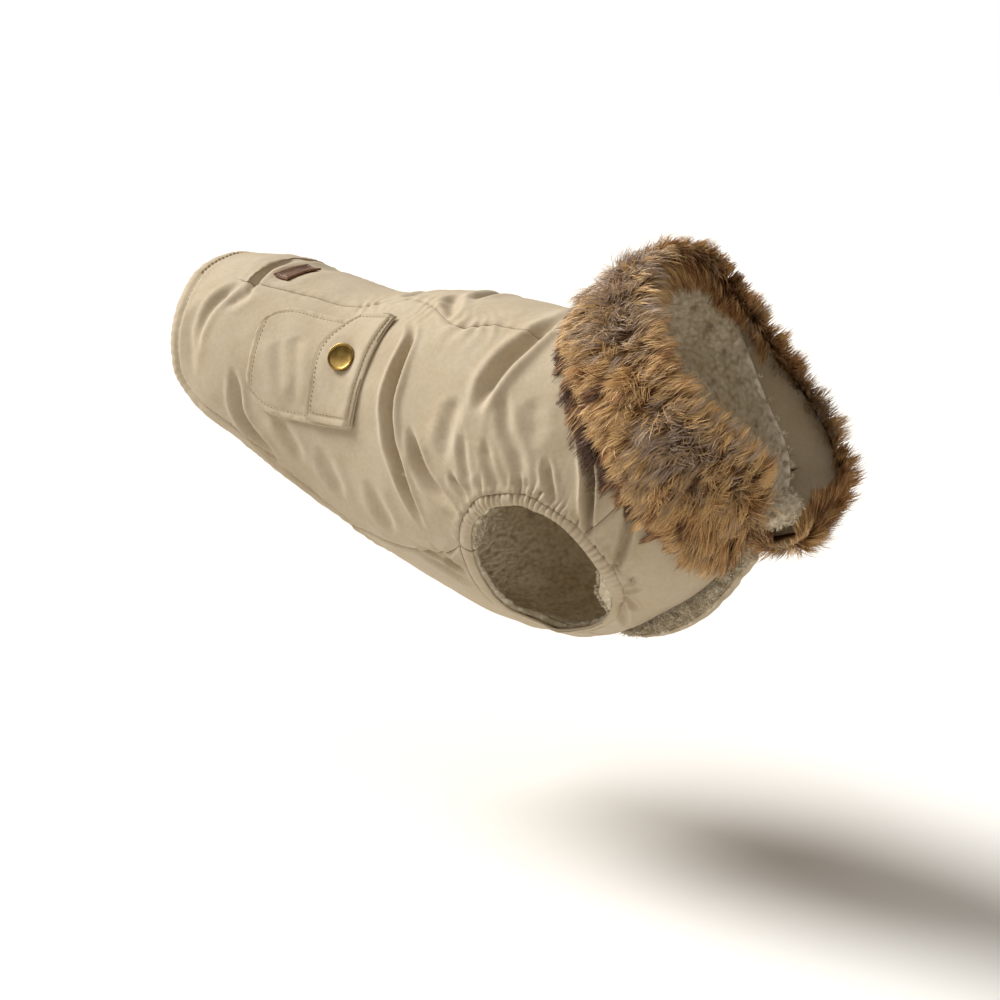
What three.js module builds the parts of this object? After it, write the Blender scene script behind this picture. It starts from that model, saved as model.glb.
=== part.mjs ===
// A small dog's winter coat, kept in the hollow form it takes when worn.
// Twill shell panels, sherpa lining, elastic armhole bands, a standing collar faced with fur outside,
// a patch pocket with a snapped flap and a leather label.
// Millimetres. +X runs to the head, +Y to the dog's left, +Z up. The origin is on the lining, on the
// spine line at the withers, where the dog's back carries the coat.
import * as THREE from 'three'
import { mergeVertices } from 'three/addons/utils/BufferGeometryUtils.js'

// ---------- driving sizes, mm ----------
const TWILL = 1.6            // shell cloth with its interlining
const SHERPA = 3             // lining cloth, pile pressed flat
const SEAM_GAP = 0.3         // between two pieces at a seam, and between layers
const LIP = 12               // how far the left front's edge hangs past the right one
const FRONT_ANGLE = 176      // where each front ends, short of the middle of the belly line
const SNAP_RADIUS = 8.3
const SNAP_HEIGHT = 3.2
const LABEL = { length: 25, width: 10.5, thick: 1.4 }

// ---------- the worn form: rings from the tail to the neck ----------
// Each ring leans. It is given by its top and belly points on the centre line, its half width and how
// far down it is widest. Station numbers count the rings.
const RINGS = [
  { at: 'tail', topX: -259, topZ: 13.5, bellyX: -253, bellyZ: -101, half: 54, widest: 0.5 },
  { at: 'hip', topX: -221, topZ: 15, bellyX: -213, bellyZ: -113.5, half: 61.5, widest: 0.5 },
  { at: 'loin', topX: -172, topZ: 8.5, bellyX: -164, bellyZ: -132.5, half: 63, widest: 0.52 },
  { at: 'waist', topX: -125, topZ: 2, bellyX: -115, bellyZ: -146, half: 63, widest: 0.53 },
  { at: 'ribs', topX: -75, topZ: 8, bellyX: -60, bellyZ: -162, half: 68, widest: 0.55 },
  { at: 'girth', topX: -30, topZ: 7, bellyX: 0, bellyZ: -174, half: 72, widest: 0.56 },
  { at: 'armhole', topX: 2, topZ: 5, bellyX: 46, bellyZ: -170, half: 70, widest: 0.56 },
  { at: 'shoulder', topX: 22, topZ: 7, bellyX: 90, bellyZ: -145, half: 62, widest: 0.56 },
  { at: 'neck', topX: 38, topZ: 13, bellyX: 130, bellyZ: -109, half: 52, widest: 0.52 },
]
const LAST = RINGS.length - 1
const ROUND_TOP = 2.2        // superellipse powers of a ring's upper and lower half
const ROUND_BELLY = 2

// The main folds of the shell: a soft trough from one (station, angle) to another, mm wide and deep.
const FOLDS = [
  { from: [3.95, 45], to: [4.15, 92], width: 6, depth: 4.5 },
  { from: [4.15, 92], to: [4.75, 112], width: 7, depth: 3.5 },
  { from: [4.55, 88], to: [4.95, 104], width: 6, depth: 2.5 },
  { from: [6.1, 38], to: [5.3, 66], width: 8, depth: 3 },
  { from: [7.1, 86], to: [7.1, 102], width: 7, depth: 3.5 },
  { from: [1.0, 40], to: [0.75, 70], width: 7, depth: 2.5 },
  { from: [3.85, -48], to: [4.2, -96], width: 6, depth: 4 },
  { from: [4.3, -92], to: [4.8, -112], width: 7, depth: 3 },
  { from: [6.2, -40], to: [5.4, -70], width: 8, depth: 3 },
  { from: [7.1, -84], to: [7.1, -100], width: 7, depth: 3.5 },
  { from: [1.1, -38], to: [0.8, -72], width: 7, depth: 2.5 },
  { from: [3.15, -14], to: [3.15, 14], width: 9, depth: 3 },
]

// ---------- seams, as (station, angle from the spine in degrees) ----------
// The lengthwise back seams wander where the waist is gathered.
const BACK_SEAM = [
  { station: 0.02, right: 33, left: 33 },
  { station: 0.6, right: 32, left: 32 },
  { station: 1.25, right: 31, left: 31 },
  { station: 2.2, right: 25.5, left: 26 },
  { station: 3, right: 22, left: 21 },
  { station: 3.5, right: 13, left: 15 },
  { station: 4, right: 17, left: 22 },
  { station: 4.7, right: 29, left: 26 },
  { station: 5.4, right: 23.5, left: 24 },
  { station: 6.5, right: 25, left: 25 },
  { station: 8, right: 24, left: 24 },
]
// From the back seam down the rear edge to the belly seam, then under the belly to its middle.
const HEM = [
  { station: 0.02, angle: 33 },
  { station: 0.05, angle: 60 },
  { station: 0.03, angle: 85 },
  { station: 0.12, angle: 103 },
  { station: 0.6, angle: 116 },
  { station: 1.42, angle: 120 },
  { station: 2.1, angle: 125 },
  { station: 2.9, angle: 138 },
]
const BELLY_HEM = [
  { station: 2.9, angle: 138 },
  { station: 3.15, angle: 155 },
  { station: 3.25, angle: 180 },
]
const BELLY_SEAM = [
  { station: 2.9, angle: 138 },
  { station: 3.9, angle: 126.5 },
  { station: 4.7, angle: 113 },
]
const SHOULDER_ANGLE = 106   // where the shoulder seam meets the neck
const CROSS_STATION = 6.1    // seam between belly and chest panels on the belly line
const ARMHOLE = {
  station: 5.985, angle: 121, stations: 0.865, degrees: 33,
  bandStations: 0.17, bandDegrees: 3.2, facingStations: 0.06, facingDegrees: 2.5,
}
// Places round the armhole, in degrees from its front, where the seams meet it.
const AT_SHOULDER = 21
const AT_BELLY_SEAM = 165
const AT_CROSS_SEAM = 270

// ---------- the collar: one band from the neck seam to a free edge, mm ----------
// angle: degrees from the nape, plus on the dog's right. edge: the band's free edge and lining: the
// sherpa's, in X, Y, Z; the band flares away from its lining on the left. crown: how thick the fur
// stands, past: its reach beyond the free edge, over: its reach behind the neck seam.
const COLLAR = [
  { angle: -162, edge: [147, 22, -101], lining: [149, 13, -89], crown: 8, past: 12, over: 3 },
  { angle: -152, edge: [143, 42, -96], lining: [144, 20, -78], crown: 11, past: 15, over: 4 },
  { angle: -140, edge: [142, 62, -91], lining: [138, 30, -66], crown: 12, past: 15, over: 5 },
  { angle: -125, edge: [135, 76, -78], lining: [126, 40, -53], crown: 13, past: 12, over: 6 },
  { angle: -110, edge: [121, 82, -56], lining: [111, 47, -38], crown: 14, past: 10, over: 8 },
  { angle: -90, edge: [101, 70, -22], lining: [95, 50, -12], crown: 15, past: 7, over: 10 },
  { angle: -60, edge: [86, 44, 14], lining: [86, 43, 14], crown: 15, past: 4, over: 12 },
  { angle: -30, edge: [79, 25, 34], lining: [79, 25, 34], crown: 14, past: 3, over: 12 },
  { angle: 0, edge: [77, 0, 38], lining: [77, 0, 38], crown: 13, past: 3, over: 12 },
  { angle: 30, edge: [81, -25, 32], lining: [81, -25, 32], crown: 14, past: 3, over: 13 },
  { angle: 60, edge: [97, -44, 5], lining: [97, -44, 5], crown: 15, past: 3, over: 15 },
  { angle: 90, edge: [119, -51, -22], lining: [119, -51, -22], crown: 15, past: 3, over: 16 },
  { angle: 120, edge: [142, -44, -41], lining: [142, -44, -41], crown: 14, past: 3, over: 12 },
  { angle: 145, edge: [151, -28, -57], lining: [151, -28, -57], crown: 13, past: 3, over: 12 },
  { angle: 160, edge: [145, -15, -74], lining: [145, -15, -74], crown: 9, past: 3, over: 9 },
]

// ---------- helpers ----------
const radians = degrees => degrees * Math.PI / 180
const lerp = (a, b, f) => a + (b - a) * f
const signedPower = (x, power) => Math.sign(x) * Math.abs(x) ** power

// A smooth curve through a column of numbers; at is a place counted in rows.
function smooth(values, at) {
  const n = values.length
  const i = Math.min(Math.max(Math.floor(at), 0), n - 2)
  const f = at - i
  const p1 = values[i]
  const p2 = values[i + 1]
  const p0 = i > 0 ? values[i - 1] : 2 * p1 - p2
  const p3 = i < n - 2 ? values[i + 2] : 2 * p2 - p1
  return p1 + 0.5 * f * (p2 - p0 + f * (2 * p0 - 5 * p1 + 4 * p2 - p3 + f * (3 * (p1 - p2) + p3 - p0)))
}

const ringColumn = name => RINGS.map(ring => ring[name])
const COLUMNS = ['topX', 'topZ', 'bellyX', 'bellyZ', 'half', 'widest'].map(ringColumn)

// The bare form at a station and an angle from the spine, plus on the dog's right.
function formPoint(station, angle) {
  const [topX, topZ, bellyX, bellyZ, half, widest] = COLUMNS.map(column => smooth(column, station))
  const a = radians(angle)
  const upper = Math.abs(angle) <= 90
  const power = 2 / (upper ? ROUND_TOP : ROUND_BELLY)
  const drop = Math.abs(Math.cos(a)) ** power
  const down = upper ? widest * (1 - drop) : widest + (1 - widest) * drop
  const side = -half * signedPower(Math.sin(a), power)
  return new THREE.Vector3(lerp(topX, bellyX, down), side, lerp(topZ, bellyZ, down))
}

function formNormal(station, angle) {
  const step = 0.02
  const along = formPoint(Math.min(station + step, LAST), angle)
    .sub(formPoint(Math.min(station + step, LAST) - 2 * step, angle))
  const around = formPoint(station, angle + 1).sub(formPoint(station, angle - 1))
  return around.cross(along).normalize()
}

// How far the shell sinks below the bare form: the sum of the folds there.
const MM_PER_STATION = 42
const MM_PER_DEGREE = 1.25
function foldDepth(station, angle) {
  let depth = 0
  for (const fold of FOLDS) {
    const ax = (station - fold.from[0]) * MM_PER_STATION
    const ay = (angle - fold.from[1]) * MM_PER_DEGREE
    const bx = (fold.to[0] - fold.from[0]) * MM_PER_STATION
    const by = (fold.to[1] - fold.from[1]) * MM_PER_DEGREE
    const f = Math.min(Math.max((ax * bx + ay * by) / (bx * bx + by * by), 0), 1)
    const away = Math.hypot(ax - f * bx, ay - f * by) / fold.width
    depth += fold.depth * Math.exp(-away * away)
  }
  return depth
}

// A point on the cloth, raised above (or, if negative, sunk below) the shell's outer face.
function clothPoint([station, angle], raise) {
  const out = formNormal(station, angle)
  return formPoint(station, angle).addScaledVector(out, raise - foldDepth(station, angle))
}

// One closed wall between two grids of points of the same size: outer[i][j] and inner[i][j].
function wallGeometry(outer, inner, { loop = false } = {}) {
  const rows = outer.length
  const cols = outer[0].length
  const points = [...outer.flat(), ...inner.flat()]
  const far = rows * cols
  const id = (i, j, side) => (i % rows) * cols + j + side * far
  const faces = []
  const quad = (a, b, c, d) => faces.push(a, b, c, a, c, d)
  const lastRow = loop ? rows : rows - 1
  for (let i = 0; i < lastRow; i++) {
    for (let j = 0; j < cols - 1; j++) {
      quad(id(i, j, 0), id(i + 1, j, 0), id(i + 1, j + 1, 0), id(i, j + 1, 0))
      quad(id(i, j, 1), id(i, j + 1, 1), id(i + 1, j + 1, 1), id(i + 1, j, 1))
    }
    quad(id(i, 0, 0), id(i, 0, 1), id(i + 1, 0, 1), id(i + 1, 0, 0))
    quad(id(i, cols - 1, 0), id(i + 1, cols - 1, 0), id(i + 1, cols - 1, 1), id(i, cols - 1, 1))
  }
  if (!loop) {
    for (let j = 0; j < cols - 1; j++) {
      quad(id(0, j, 0), id(0, j + 1, 0), id(0, j + 1, 1), id(0, j, 1))
      const end = rows - 1
      quad(id(end, j, 0), id(end, j, 1), id(end, j + 1, 1), id(end, j + 1, 0))
    }
  }
  const flat = new Float32Array(points.flatMap(p => [p.x, p.y, p.z]))
  let geometry = new THREE.BufferGeometry()
  geometry.setAttribute('position', new THREE.BufferAttribute(flat, 3))
  geometry.setIndex(faces)
  geometry = mergeVertices(geometry, 1e-4)
  if (signedVolume(geometry) < 0) turnInsideOut(geometry)
  geometry.computeVertexNormals()
  return geometry
}

function signedVolume(geometry) {
  const position = geometry.getAttribute('position')
  const index = geometry.getIndex()
  const corners = [new THREE.Vector3(), new THREE.Vector3(), new THREE.Vector3()]
  let volume = 0
  for (let i = 0; i < index.count; i += 3) {
    corners.forEach((corner, k) => corner.fromBufferAttribute(position, index.getX(i + k)))
    volume += corners[0].dot(corners[1].clone().cross(corners[2])) / 6
  }
  return volume
}

function turnInsideOut(geometry) {
  const index = geometry.getIndex()
  for (let i = 0; i < index.count; i += 3) {
    const second = index.getX(i + 1)
    index.setX(i + 1, index.getX(i + 2))
    index.setX(i + 2, second)
  }
}

// ---------- seam lines as runs of [station, angle] ----------
const steps = (count, place) => Array.from({ length: count + 1 }, (_, i) => place(i / count))

// Points spread evenly along a table's rows.
function along(rows, count, keys = ['station', 'angle']) {
  const columns = keys.map(key => rows.map(row => row[key]))
  return steps(count, f => columns.map(column => smooth(column, f * (rows.length - 1))))
}

const straight = (from, to, count) => steps(count, f => [lerp(from[0], to[0], f), lerp(from[1], to[1], f)])

// A place round the armhole; extra widens it, in stations and degrees.
function armholePlace(turn, extraStations, extraDegrees) {
  const c = Math.cos(radians(turn))
  const s = Math.sin(radians(turn))
  const power = 2 / (c < 0 && s > 0 ? 3 : 2.2)
  return [
    ARMHOLE.station + (ARMHOLE.stations + extraStations) * signedPower(c, power),
    ARMHOLE.angle - (ARMHOLE.degrees + extraDegrees) * signedPower(s, power),
  ]
}

const join = (...runs) => runs.reduce((all, run) => [...all, ...run.slice(all.length ? 1 : 0)])

// Counts of grid steps along each seam, so that neighbours share their corner points.
const STEPS = {
  yoke: 3, back: 17, across: 5, hem: 9, bellySeam: 8,
  topArc: 8, rearArc: 5, frontArc: 7, shoulder: 4, front: 5,
}

// A grid of places inside four boundary runs that meet at their ends. bow pushes the inside along the
// stations, so that its lines keep clear of a hollow in the boundary.
function patch(top, bottom, start, end, bow = () => 0) {
  const n = top.length - 1
  const m = start.length - 1
  return top.map((t, i) => start.map((s, j) => {
    const u = i / n
    const v = j / m
    const [station, angle] = [0, 1].map(k => lerp(t[k], bottom[i][k], v) + lerp(s[k], end[j][k], u)
      - lerp(lerp(top[0][k], top[n][k], u), lerp(bottom[0][k], bottom[n][k], u), v))
    return [station + bow(u, v), angle]
  }))
}

// Draws the border of a grid of points in by half a seam gap.
function drawIn(grid, gap = SEAM_GAP / 2) {
  const move = (p, q) => p.clone().addScaledVector(q.clone().sub(p).normalize(), gap)
  const rows = grid.length
  const cols = grid[0].length
  const rowsIn = grid.map((row, i) => row.map((p, j) => {
    if (i === 0) return move(p, grid[1][j])
    if (i === rows - 1) return move(p, grid[rows - 2][j])
    return p.clone()
  }))
  return rowsIn.map(row => row.map((p, j) => {
    if (j === 0) return move(p, row[1])
    if (j === cols - 1) return move(p, row[cols - 2])
    return p
  }))
}

// A cloth wall over a grid of places; top and bottom are heights above the shell's outer face.
function clothWall(places, top, bottom, options) {
  const outer = places.map(row => row.map(place => clothPoint(place, top)))
  const inner = places.map(row => row.map(place => clothPoint(place, bottom)))
  if (options?.loop) return wallGeometry(outer, inner, options)
  return wallGeometry(drawIn(outer), drawIn(inner), options)
}

// ---------- seam runs on the right; mirrored gives the left ----------
const other = run => run.map(([station, angle]) => [station, -angle])
const wrapped = run => run.map(([station, angle]) => [station, 360 - angle])

function backSeam(side, from, to, count) {
  const run = along(BACK_SEAM.slice(from, to), count, ['station', side])
  return side === 'left' ? other(run) : run
}
const YOKE_ROWS = 3
const yokeSide = side => backSeam(side, 0, YOKE_ROWS, STEPS.yoke)
const spineSeam = side => backSeam(side, YOKE_ROWS - 1, BACK_SEAM.length, STEPS.back)

// The three lines round an armhole: where the panels end, the band's opening and the facing's edge.
const HOLES = {
  panel: [ARMHOLE.bandStations, ARMHOLE.bandDegrees],
  opening: [0, 0],
  facing: [-ARMHOLE.facingStations, -ARMHOLE.facingDegrees],
}
const arc = (from, to, count) => steps(count, f => armholePlace(lerp(from, to, f), ...HOLES.panel))
const spread = (from, to, count) => steps(count, f => lerp(from, to, f)).slice(0, -1)
// All the turns at which a panel has a corner on the armhole.
const ARMHOLE_TURNS = [
  ...spread(AT_SHOULDER, AT_BELLY_SEAM, STEPS.topArc),
  ...spread(AT_BELLY_SEAM, AT_CROSS_SEAM, STEPS.rearArc),
  ...spread(AT_CROSS_SEAM, AT_SHOULDER + 360, STEPS.frontArc),
]

function bellySeam() {
  const end = armholePlace(AT_BELLY_SEAM, ...HOLES.panel)
  return along([...BELLY_SEAM, { station: end[0], angle: end[1] }], STEPS.bellySeam)
}

function shoulderSeam() {
  return straight(armholePlace(AT_SHOULDER, ...HOLES.panel), [LAST, SHOULDER_ANGLE], STEPS.shoulder)
}

const neckSeam = (from, to, count) => straight([LAST, from], [LAST, to], count)

function backPanel() {
  const right = spineSeam('right')
  const left = spineSeam('left')
  const rear = straight(right[0], left[0], STEPS.across)
  return patch(right, left, rear, straight(right.at(-1), left.at(-1), STEPS.across))
}

function tailYoke() {
  const right = yokeSide('right')
  const left = yokeSide('left')
  const hem = straight(right[0], left[0], STEPS.across)
  return patch(right, left, hem, straight(right.at(-1), left.at(-1), STEPS.across))
}

// From the back seam down to the belly seam, the top of the armhole and the shoulder seam.
function sidePanel(side) {
  const top = join(yokeSide(side), spineSeam(side))
  const low = join(bellySeam(), arc(AT_BELLY_SEAM, AT_SHOULDER, STEPS.topArc), shoulderSeam())
  const bottom = side === 'left' ? other(low) : low
  const hem = along(HEM, STEPS.hem)
  const rear = side === 'left' ? other(hem) : hem
  const bow = (u, v) => 9 * u ** 3 * Math.sin(Math.PI * u) * v * v * (1 - v)
  return patch(top, bottom, rear, straight(top.at(-1), bottom.at(-1), STEPS.hem), bow)
}

// Across the belly between the two belly seams, from its hem to the seam with the fronts.
function bellyPanel() {
  const right = join(bellySeam(), arc(AT_BELLY_SEAM, AT_CROSS_SEAM, STEPS.rearArc))
  const half = along(BELLY_HEM, STEPS.front)
  const front = straight(right.at(-1), [CROSS_STATION, FRONT_ANGLE], STEPS.front)
  const whole = run => [...run, ...wrapped(run).reverse()]
  half[STEPS.front] = [BELLY_HEM.at(-1).station, FRONT_ANGLE]
  const bow = (u, v) => -4 * Math.sin(Math.PI * u) * v * (1 - v)
  return patch(right, wrapped(right), whole(half), whole(front), bow)
}

// From the shoulder seam and the front of the armhole to the closing on the belly line.
function chestPanel(side) {
  const seam = shoulderSeam().reverse()
  const edge = arc(AT_SHOULDER, AT_CROSS_SEAM - 360, STEPS.frontArc)
  const top = join(seam, edge)
  const count = top.length - 1
  const grid = patch(top, straight([LAST, FRONT_ANGLE], [CROSS_STATION, FRONT_ANGLE], count),
    neckSeam(SHOULDER_ANGLE, FRONT_ANGLE, STEPS.front),
    straight(top.at(-1), [CROSS_STATION, FRONT_ANGLE], STEPS.front))
  return side === 'left' ? grid.map(other) : grid
}

// ---------- the left front's lip ----------
// Past the closing the left front hangs on, square to the belly line, its lining towards the right.
const LIP_ENDS = [0.45, 0.08] // its depth at the throat and behind, as a share of the full depth
function hang(grid, places, sideways) {
  const lipSteps = 2
  return grid.map((row, i) => {
    const [station] = places[i].at(-1)
    const back = formPoint(Math.max(station - 0.1, 0), 180)
    const line = formPoint(Math.min(station + 0.1, LAST), 180).sub(back).normalize()
    const down = new THREE.Vector3(line.z, 0, -line.x)
    const start = formPoint(station, 180).setY(sideways)
    const share = i / (grid.length - 1)
    const depth = LIP * lerp(lerp(...LIP_ENDS, share), 1, Math.sin(Math.PI * share) ** 0.8)
    const extra = steps(lipSteps, f => start.clone().addScaledVector(down, depth * (0.15 + 0.85 * f)))
    return [...row, ...extra]
  })
}

function lippedWall(places, top, bottom, topSide, bottomSide) {
  const outer = places.map(row => row.map(place => clothPoint(place, top)))
  const inner = places.map(row => row.map(place => clothPoint(place, bottom)))
  const hung = [hang(outer, places, topSide), hang(inner, places, bottomSide)]
  return wallGeometry(...hung.map(grid => drawIn(grid)))
}

// ---------- materials ----------
const cloth = (color, roughness = 0.9) => new THREE.MeshStandardMaterial({ color, roughness, metalness: 0 })
const twillCloth = () => cloth(0xc9b590)
const sherpaCloth = () => cloth(0xd9cfbc, 1)
const furPile = () => cloth(0x9a6a42, 1)
const brownLeather = () => cloth(0x6b4534, 0.6)
const agedBrass = () => new THREE.MeshStandardMaterial({ color: 0x9c8448, roughness: 0.35, metalness: 1 })

const coat = new THREE.Group()
function add(name, geometry, material) {
  const mesh = new THREE.Mesh(geometry, material)
  mesh.name = name
  coat.add(mesh)
  return mesh
}

// ---------- shell and lining, cut from the same pattern pieces ----------
const LAYER_GAP = 1.0       // between shell and lining
const LINING_TOP = -TWILL - LAYER_GAP
const LINING_BOTTOM = LINING_TOP - SHERPA
const LIP_FACE = 3.4         // the lip's twill face, to the left of the middle plane
const layers = [
  { prefix: '', top: 0, bottom: -TWILL, material: twillCloth },
  { prefix: 'lining_', top: LINING_TOP, bottom: LINING_BOTTOM, material: sherpaCloth },
]
for (const { prefix, top, bottom, material } of layers) {
  add(`${prefix}tail_yoke`, clothWall(tailYoke(), top, bottom), material())
  add(`${prefix}back_panel`, clothWall(backPanel(), top, bottom), material())
  for (const side of ['right', 'left']) {
    add(`${prefix}side_panel_${side}`, clothWall(sidePanel(side), top, bottom), material())
  }
  add(`${prefix}belly_panel`, clothWall(bellyPanel(), top, bottom), material())
  add(`${prefix}chest_panel_right`, clothWall(chestPanel('right'), top, bottom), material())
  const lipped = lippedWall(chestPanel('left'), top, bottom, LIP_FACE + top, LIP_FACE + bottom)
  add(`${prefix}chest_panel_left`, lipped, material())
}

// ---------- elastic armhole bands, each with a sherpa facing behind it ----------
const BAND_PUFF = 1.2        // the gathered band stands a little proud of the shell
// A ring of cloth round an armhole, from the panels' edge to one of its inner lines.
function armholeRing(side, inner, top, bottom) {
  const sign = side === 'left' ? -1 : 1
  const places = ARMHOLE_TURNS.map(turn => {
    const rim = armholePlace(turn, ...HOLES.panel)
    const edge = armholePlace(turn, ...HOLES[inner])
    return [0.06, 0.5, 1].map(f => [lerp(rim[0], edge[0], f), sign * lerp(rim[1], edge[1], f)])
  })
  return clothWall(places, top, bottom, { loop: true })
}
for (const side of ['right', 'left']) {
  add(`armhole_band_${side}`, armholeRing(side, 'opening', BAND_PUFF, -TWILL), twillCloth())
  add(`armhole_facing_${side}`, armholeRing(side, 'facing', LINING_TOP, LINING_BOTTOM), sherpaCloth())
}

// ---------- pocket, flap, snap and label ----------
// A place inside four corner places, across (0..1, tail to head) and down (0..1).
function inside(corners, across, down) {
  const [rearTop, frontTop, frontLow, rearLow] = corners
  const edge = (rear, front, k) => lerp(rear[k], front[k], across)
  return [0, 1].map(k => lerp(edge(rearTop, frontTop, k), edge(rearLow, frontLow, k), down))
}

const POCKET = {
  corners: [[1.82, 36.5], [3.74, 31], [3.48, 81], [1.76, 91.5]],
  round: 0.28,
  roundShares: [1.3, 0.75],   // the corner nearer the spine is the rounder one
  thick: 1.4,
  lift: 0.5,
}
const POCKET_COLUMNS = [0, 0.03, 0.1, 0.2, 0.33, 0.5, 0.67, 0.83, 1]
const POCKET_ROWS = 7
const pocketPlaces = POCKET_COLUMNS.map(across => {
  const short = Math.max(POCKET.round - across, 0) / POCKET.round
  const inset = POCKET.round * (1 - Math.sqrt(1 - short * short))
  const [upper, lower] = POCKET.roundShares.map(share => share * inset)
  return steps(POCKET_ROWS, down => inside(POCKET.corners, across, lerp(upper, 1 - lower, down)))
})
add('pocket_right', clothWall(pocketPlaces, POCKET.lift + POCKET.thick, POCKET.lift), twillCloth())

// The flap is stitched along its front edge; its upper free corner is cut on a slant.
const FLAP_EDGE = [
  { down: 0, free: 3.3 },
  { down: 0.2, free: 3.02 },
  { down: 0.42, free: 2.86 },
  { down: 0.7, free: 2.84 },
  { down: 1, free: 2.82 },
]
const FLAP = { hingeTop: [3.78, 30], hingeLow: [3.54, 80], drop: 3.5, thick: 1.4 }
const flapBottom = POCKET.lift + POCKET.thick + 2 * SEAM_GAP
const flapPlaces = along(FLAP_EDGE, POCKET_ROWS, ['down', 'free']).map(([down, free]) => {
  const hinge = [0, 1].map(k => lerp(FLAP.hingeTop[k], FLAP.hingeLow[k], down))
  return straight([free, hinge[1] + FLAP.drop * down], hinge, 3)
})
add('pocket_flap_right', clothWall(flapPlaces, flapBottom + FLAP.thick, flapBottom), twillCloth())

// Stands a mesh on the cloth at a place, its own +Z along the cloth's outward normal, tipped
// towards the head by lean.
function standOn(mesh, place, raise, lean = 0) {
  const out = formNormal(...place).add(new THREE.Vector3(lean, 0, 0)).normalize()
  mesh.position.copy(clothPoint(place, raise))
  mesh.quaternion.setFromUnitVectors(new THREE.Vector3(0, 0, 1), out)
}

const SNAP_AT = [3.25, 54]
const capProfile = [
  [0, 0], [SNAP_RADIUS, 0], [SNAP_RADIUS, SNAP_HEIGHT * 0.45], [SNAP_RADIUS * 0.93, SNAP_HEIGHT * 0.8],
  [SNAP_RADIUS * 0.82, SNAP_HEIGHT * 0.72], [SNAP_RADIUS * 0.45, SNAP_HEIGHT * 0.95], [0, SNAP_HEIGHT],
].map(([radius, height]) => new THREE.Vector2(radius, height))
const snap = new THREE.LatheGeometry(capProfile, 18).rotateX(Math.PI / 2)
const SNAP_LEAN = 0.32       // it tips with the soft flap
const snapRaise = flapBottom + FLAP.thick + SEAM_GAP + SNAP_RADIUS * SNAP_LEAN * 1.05
standOn(add('snap_cap', snap, agedBrass()), SNAP_AT, snapRaise, SNAP_LEAN)

const LABEL_AT = { station: 1.64, angle: 8.5 }
const LABEL_LIFT = 0.5
const labelPlaces = steps(2, f => straight(
  [LABEL_AT.station + (f - 0.5) * LABEL.width / 46, LABEL_AT.angle - LABEL.length / 2 / 1.05],
  [LABEL_AT.station + (f - 0.5) * LABEL.width / 46, LABEL_AT.angle + LABEL.length / 2 / 1.05], 5))
add('label_patch', clothWall(labelPlaces, LABEL_LIFT + LABEL.thick, LABEL_LIFT), brownLeather())

// ---------- collar ----------
const COLLAR_STEPS = 28
const collarColumn = (key, at) => smooth(COLLAR.map(line => line[key]), at)
const smoothPoint = (points, at) =>
  new THREE.Vector3(...[0, 1, 2].map(k => smooth(points.map(p => p[k]), at)))
const collarPoint = (key, at) => smoothPoint(COLLAR.map(line => line[key]), at)

const COLLAR_CLEAR = { edge: 3 * SEAM_GAP, lining: 8 * SEAM_GAP }   // from the panels' ends

// One cross-section: the seam, the two free edges, and the normals that point away from the neck.
function collarSection(f) {
  const row = f * (COLLAR.length - 1)
  const angle = collarColumn('angle', row)
  const seam = formPoint(LAST, angle)
  const ahead = formPoint(LAST, angle + 1)
  const section = { angle, seam, crown: collarColumn('crown', row), past: collarColumn('past', row),
    over: collarColumn('over', row) }
  for (const [key, clear] of Object.entries(COLLAR_CLEAR)) {
    const edge = collarPoint(key, row)
    const rise = edge.clone().sub(seam).normalize()
    const round = collarPoint(key, row + 0.05).sub(collarPoint(key, row - 0.05)).normalize()
      .add(ahead.clone().sub(seam).normalize())
    const base = seam.clone().addScaledVector(rise, clear)
    section[key] = { base, edge, rise, out: round.cross(rise).normalize() }
  }
  return section
}
const sections = steps(COLLAR_STEPS, collarSection)

// The band's twill side: a wall from the neck seam to its free edge, on the neck side of the fur.
const bandLine = ({ edge: { base, edge, out } }, lift) =>
  [0, 0.33, 0.67, 1].map(f => base.clone().lerp(edge, f).addScaledVector(out, lift))
const bandOutside = sections.map(section => bandLine(section, 0))
const bandInside = sections.map(section => bandLine(section, -TWILL))
add('collar_shell', wallGeometry(bandOutside, bandInside), twillCloth())

// The sherpa stands inside the band, towards the neck.
const COLLAR_LIFT = TWILL + 2 * SEAM_GAP
const liningLine = ({ lining: { base, edge, out } }, lift) =>
  [0, 0.5, 0.96].map(f => base.clone().lerp(edge, f).addScaledVector(out, lift))
const liningBack = sections.map(section => liningLine(section, -COLLAR_LIFT))
const liningFace = sections.map(section => liningLine(section, -COLLAR_LIFT - SHERPA))
add('collar_lining', wallGeometry(liningBack, liningFace), sherpaCloth())

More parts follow.
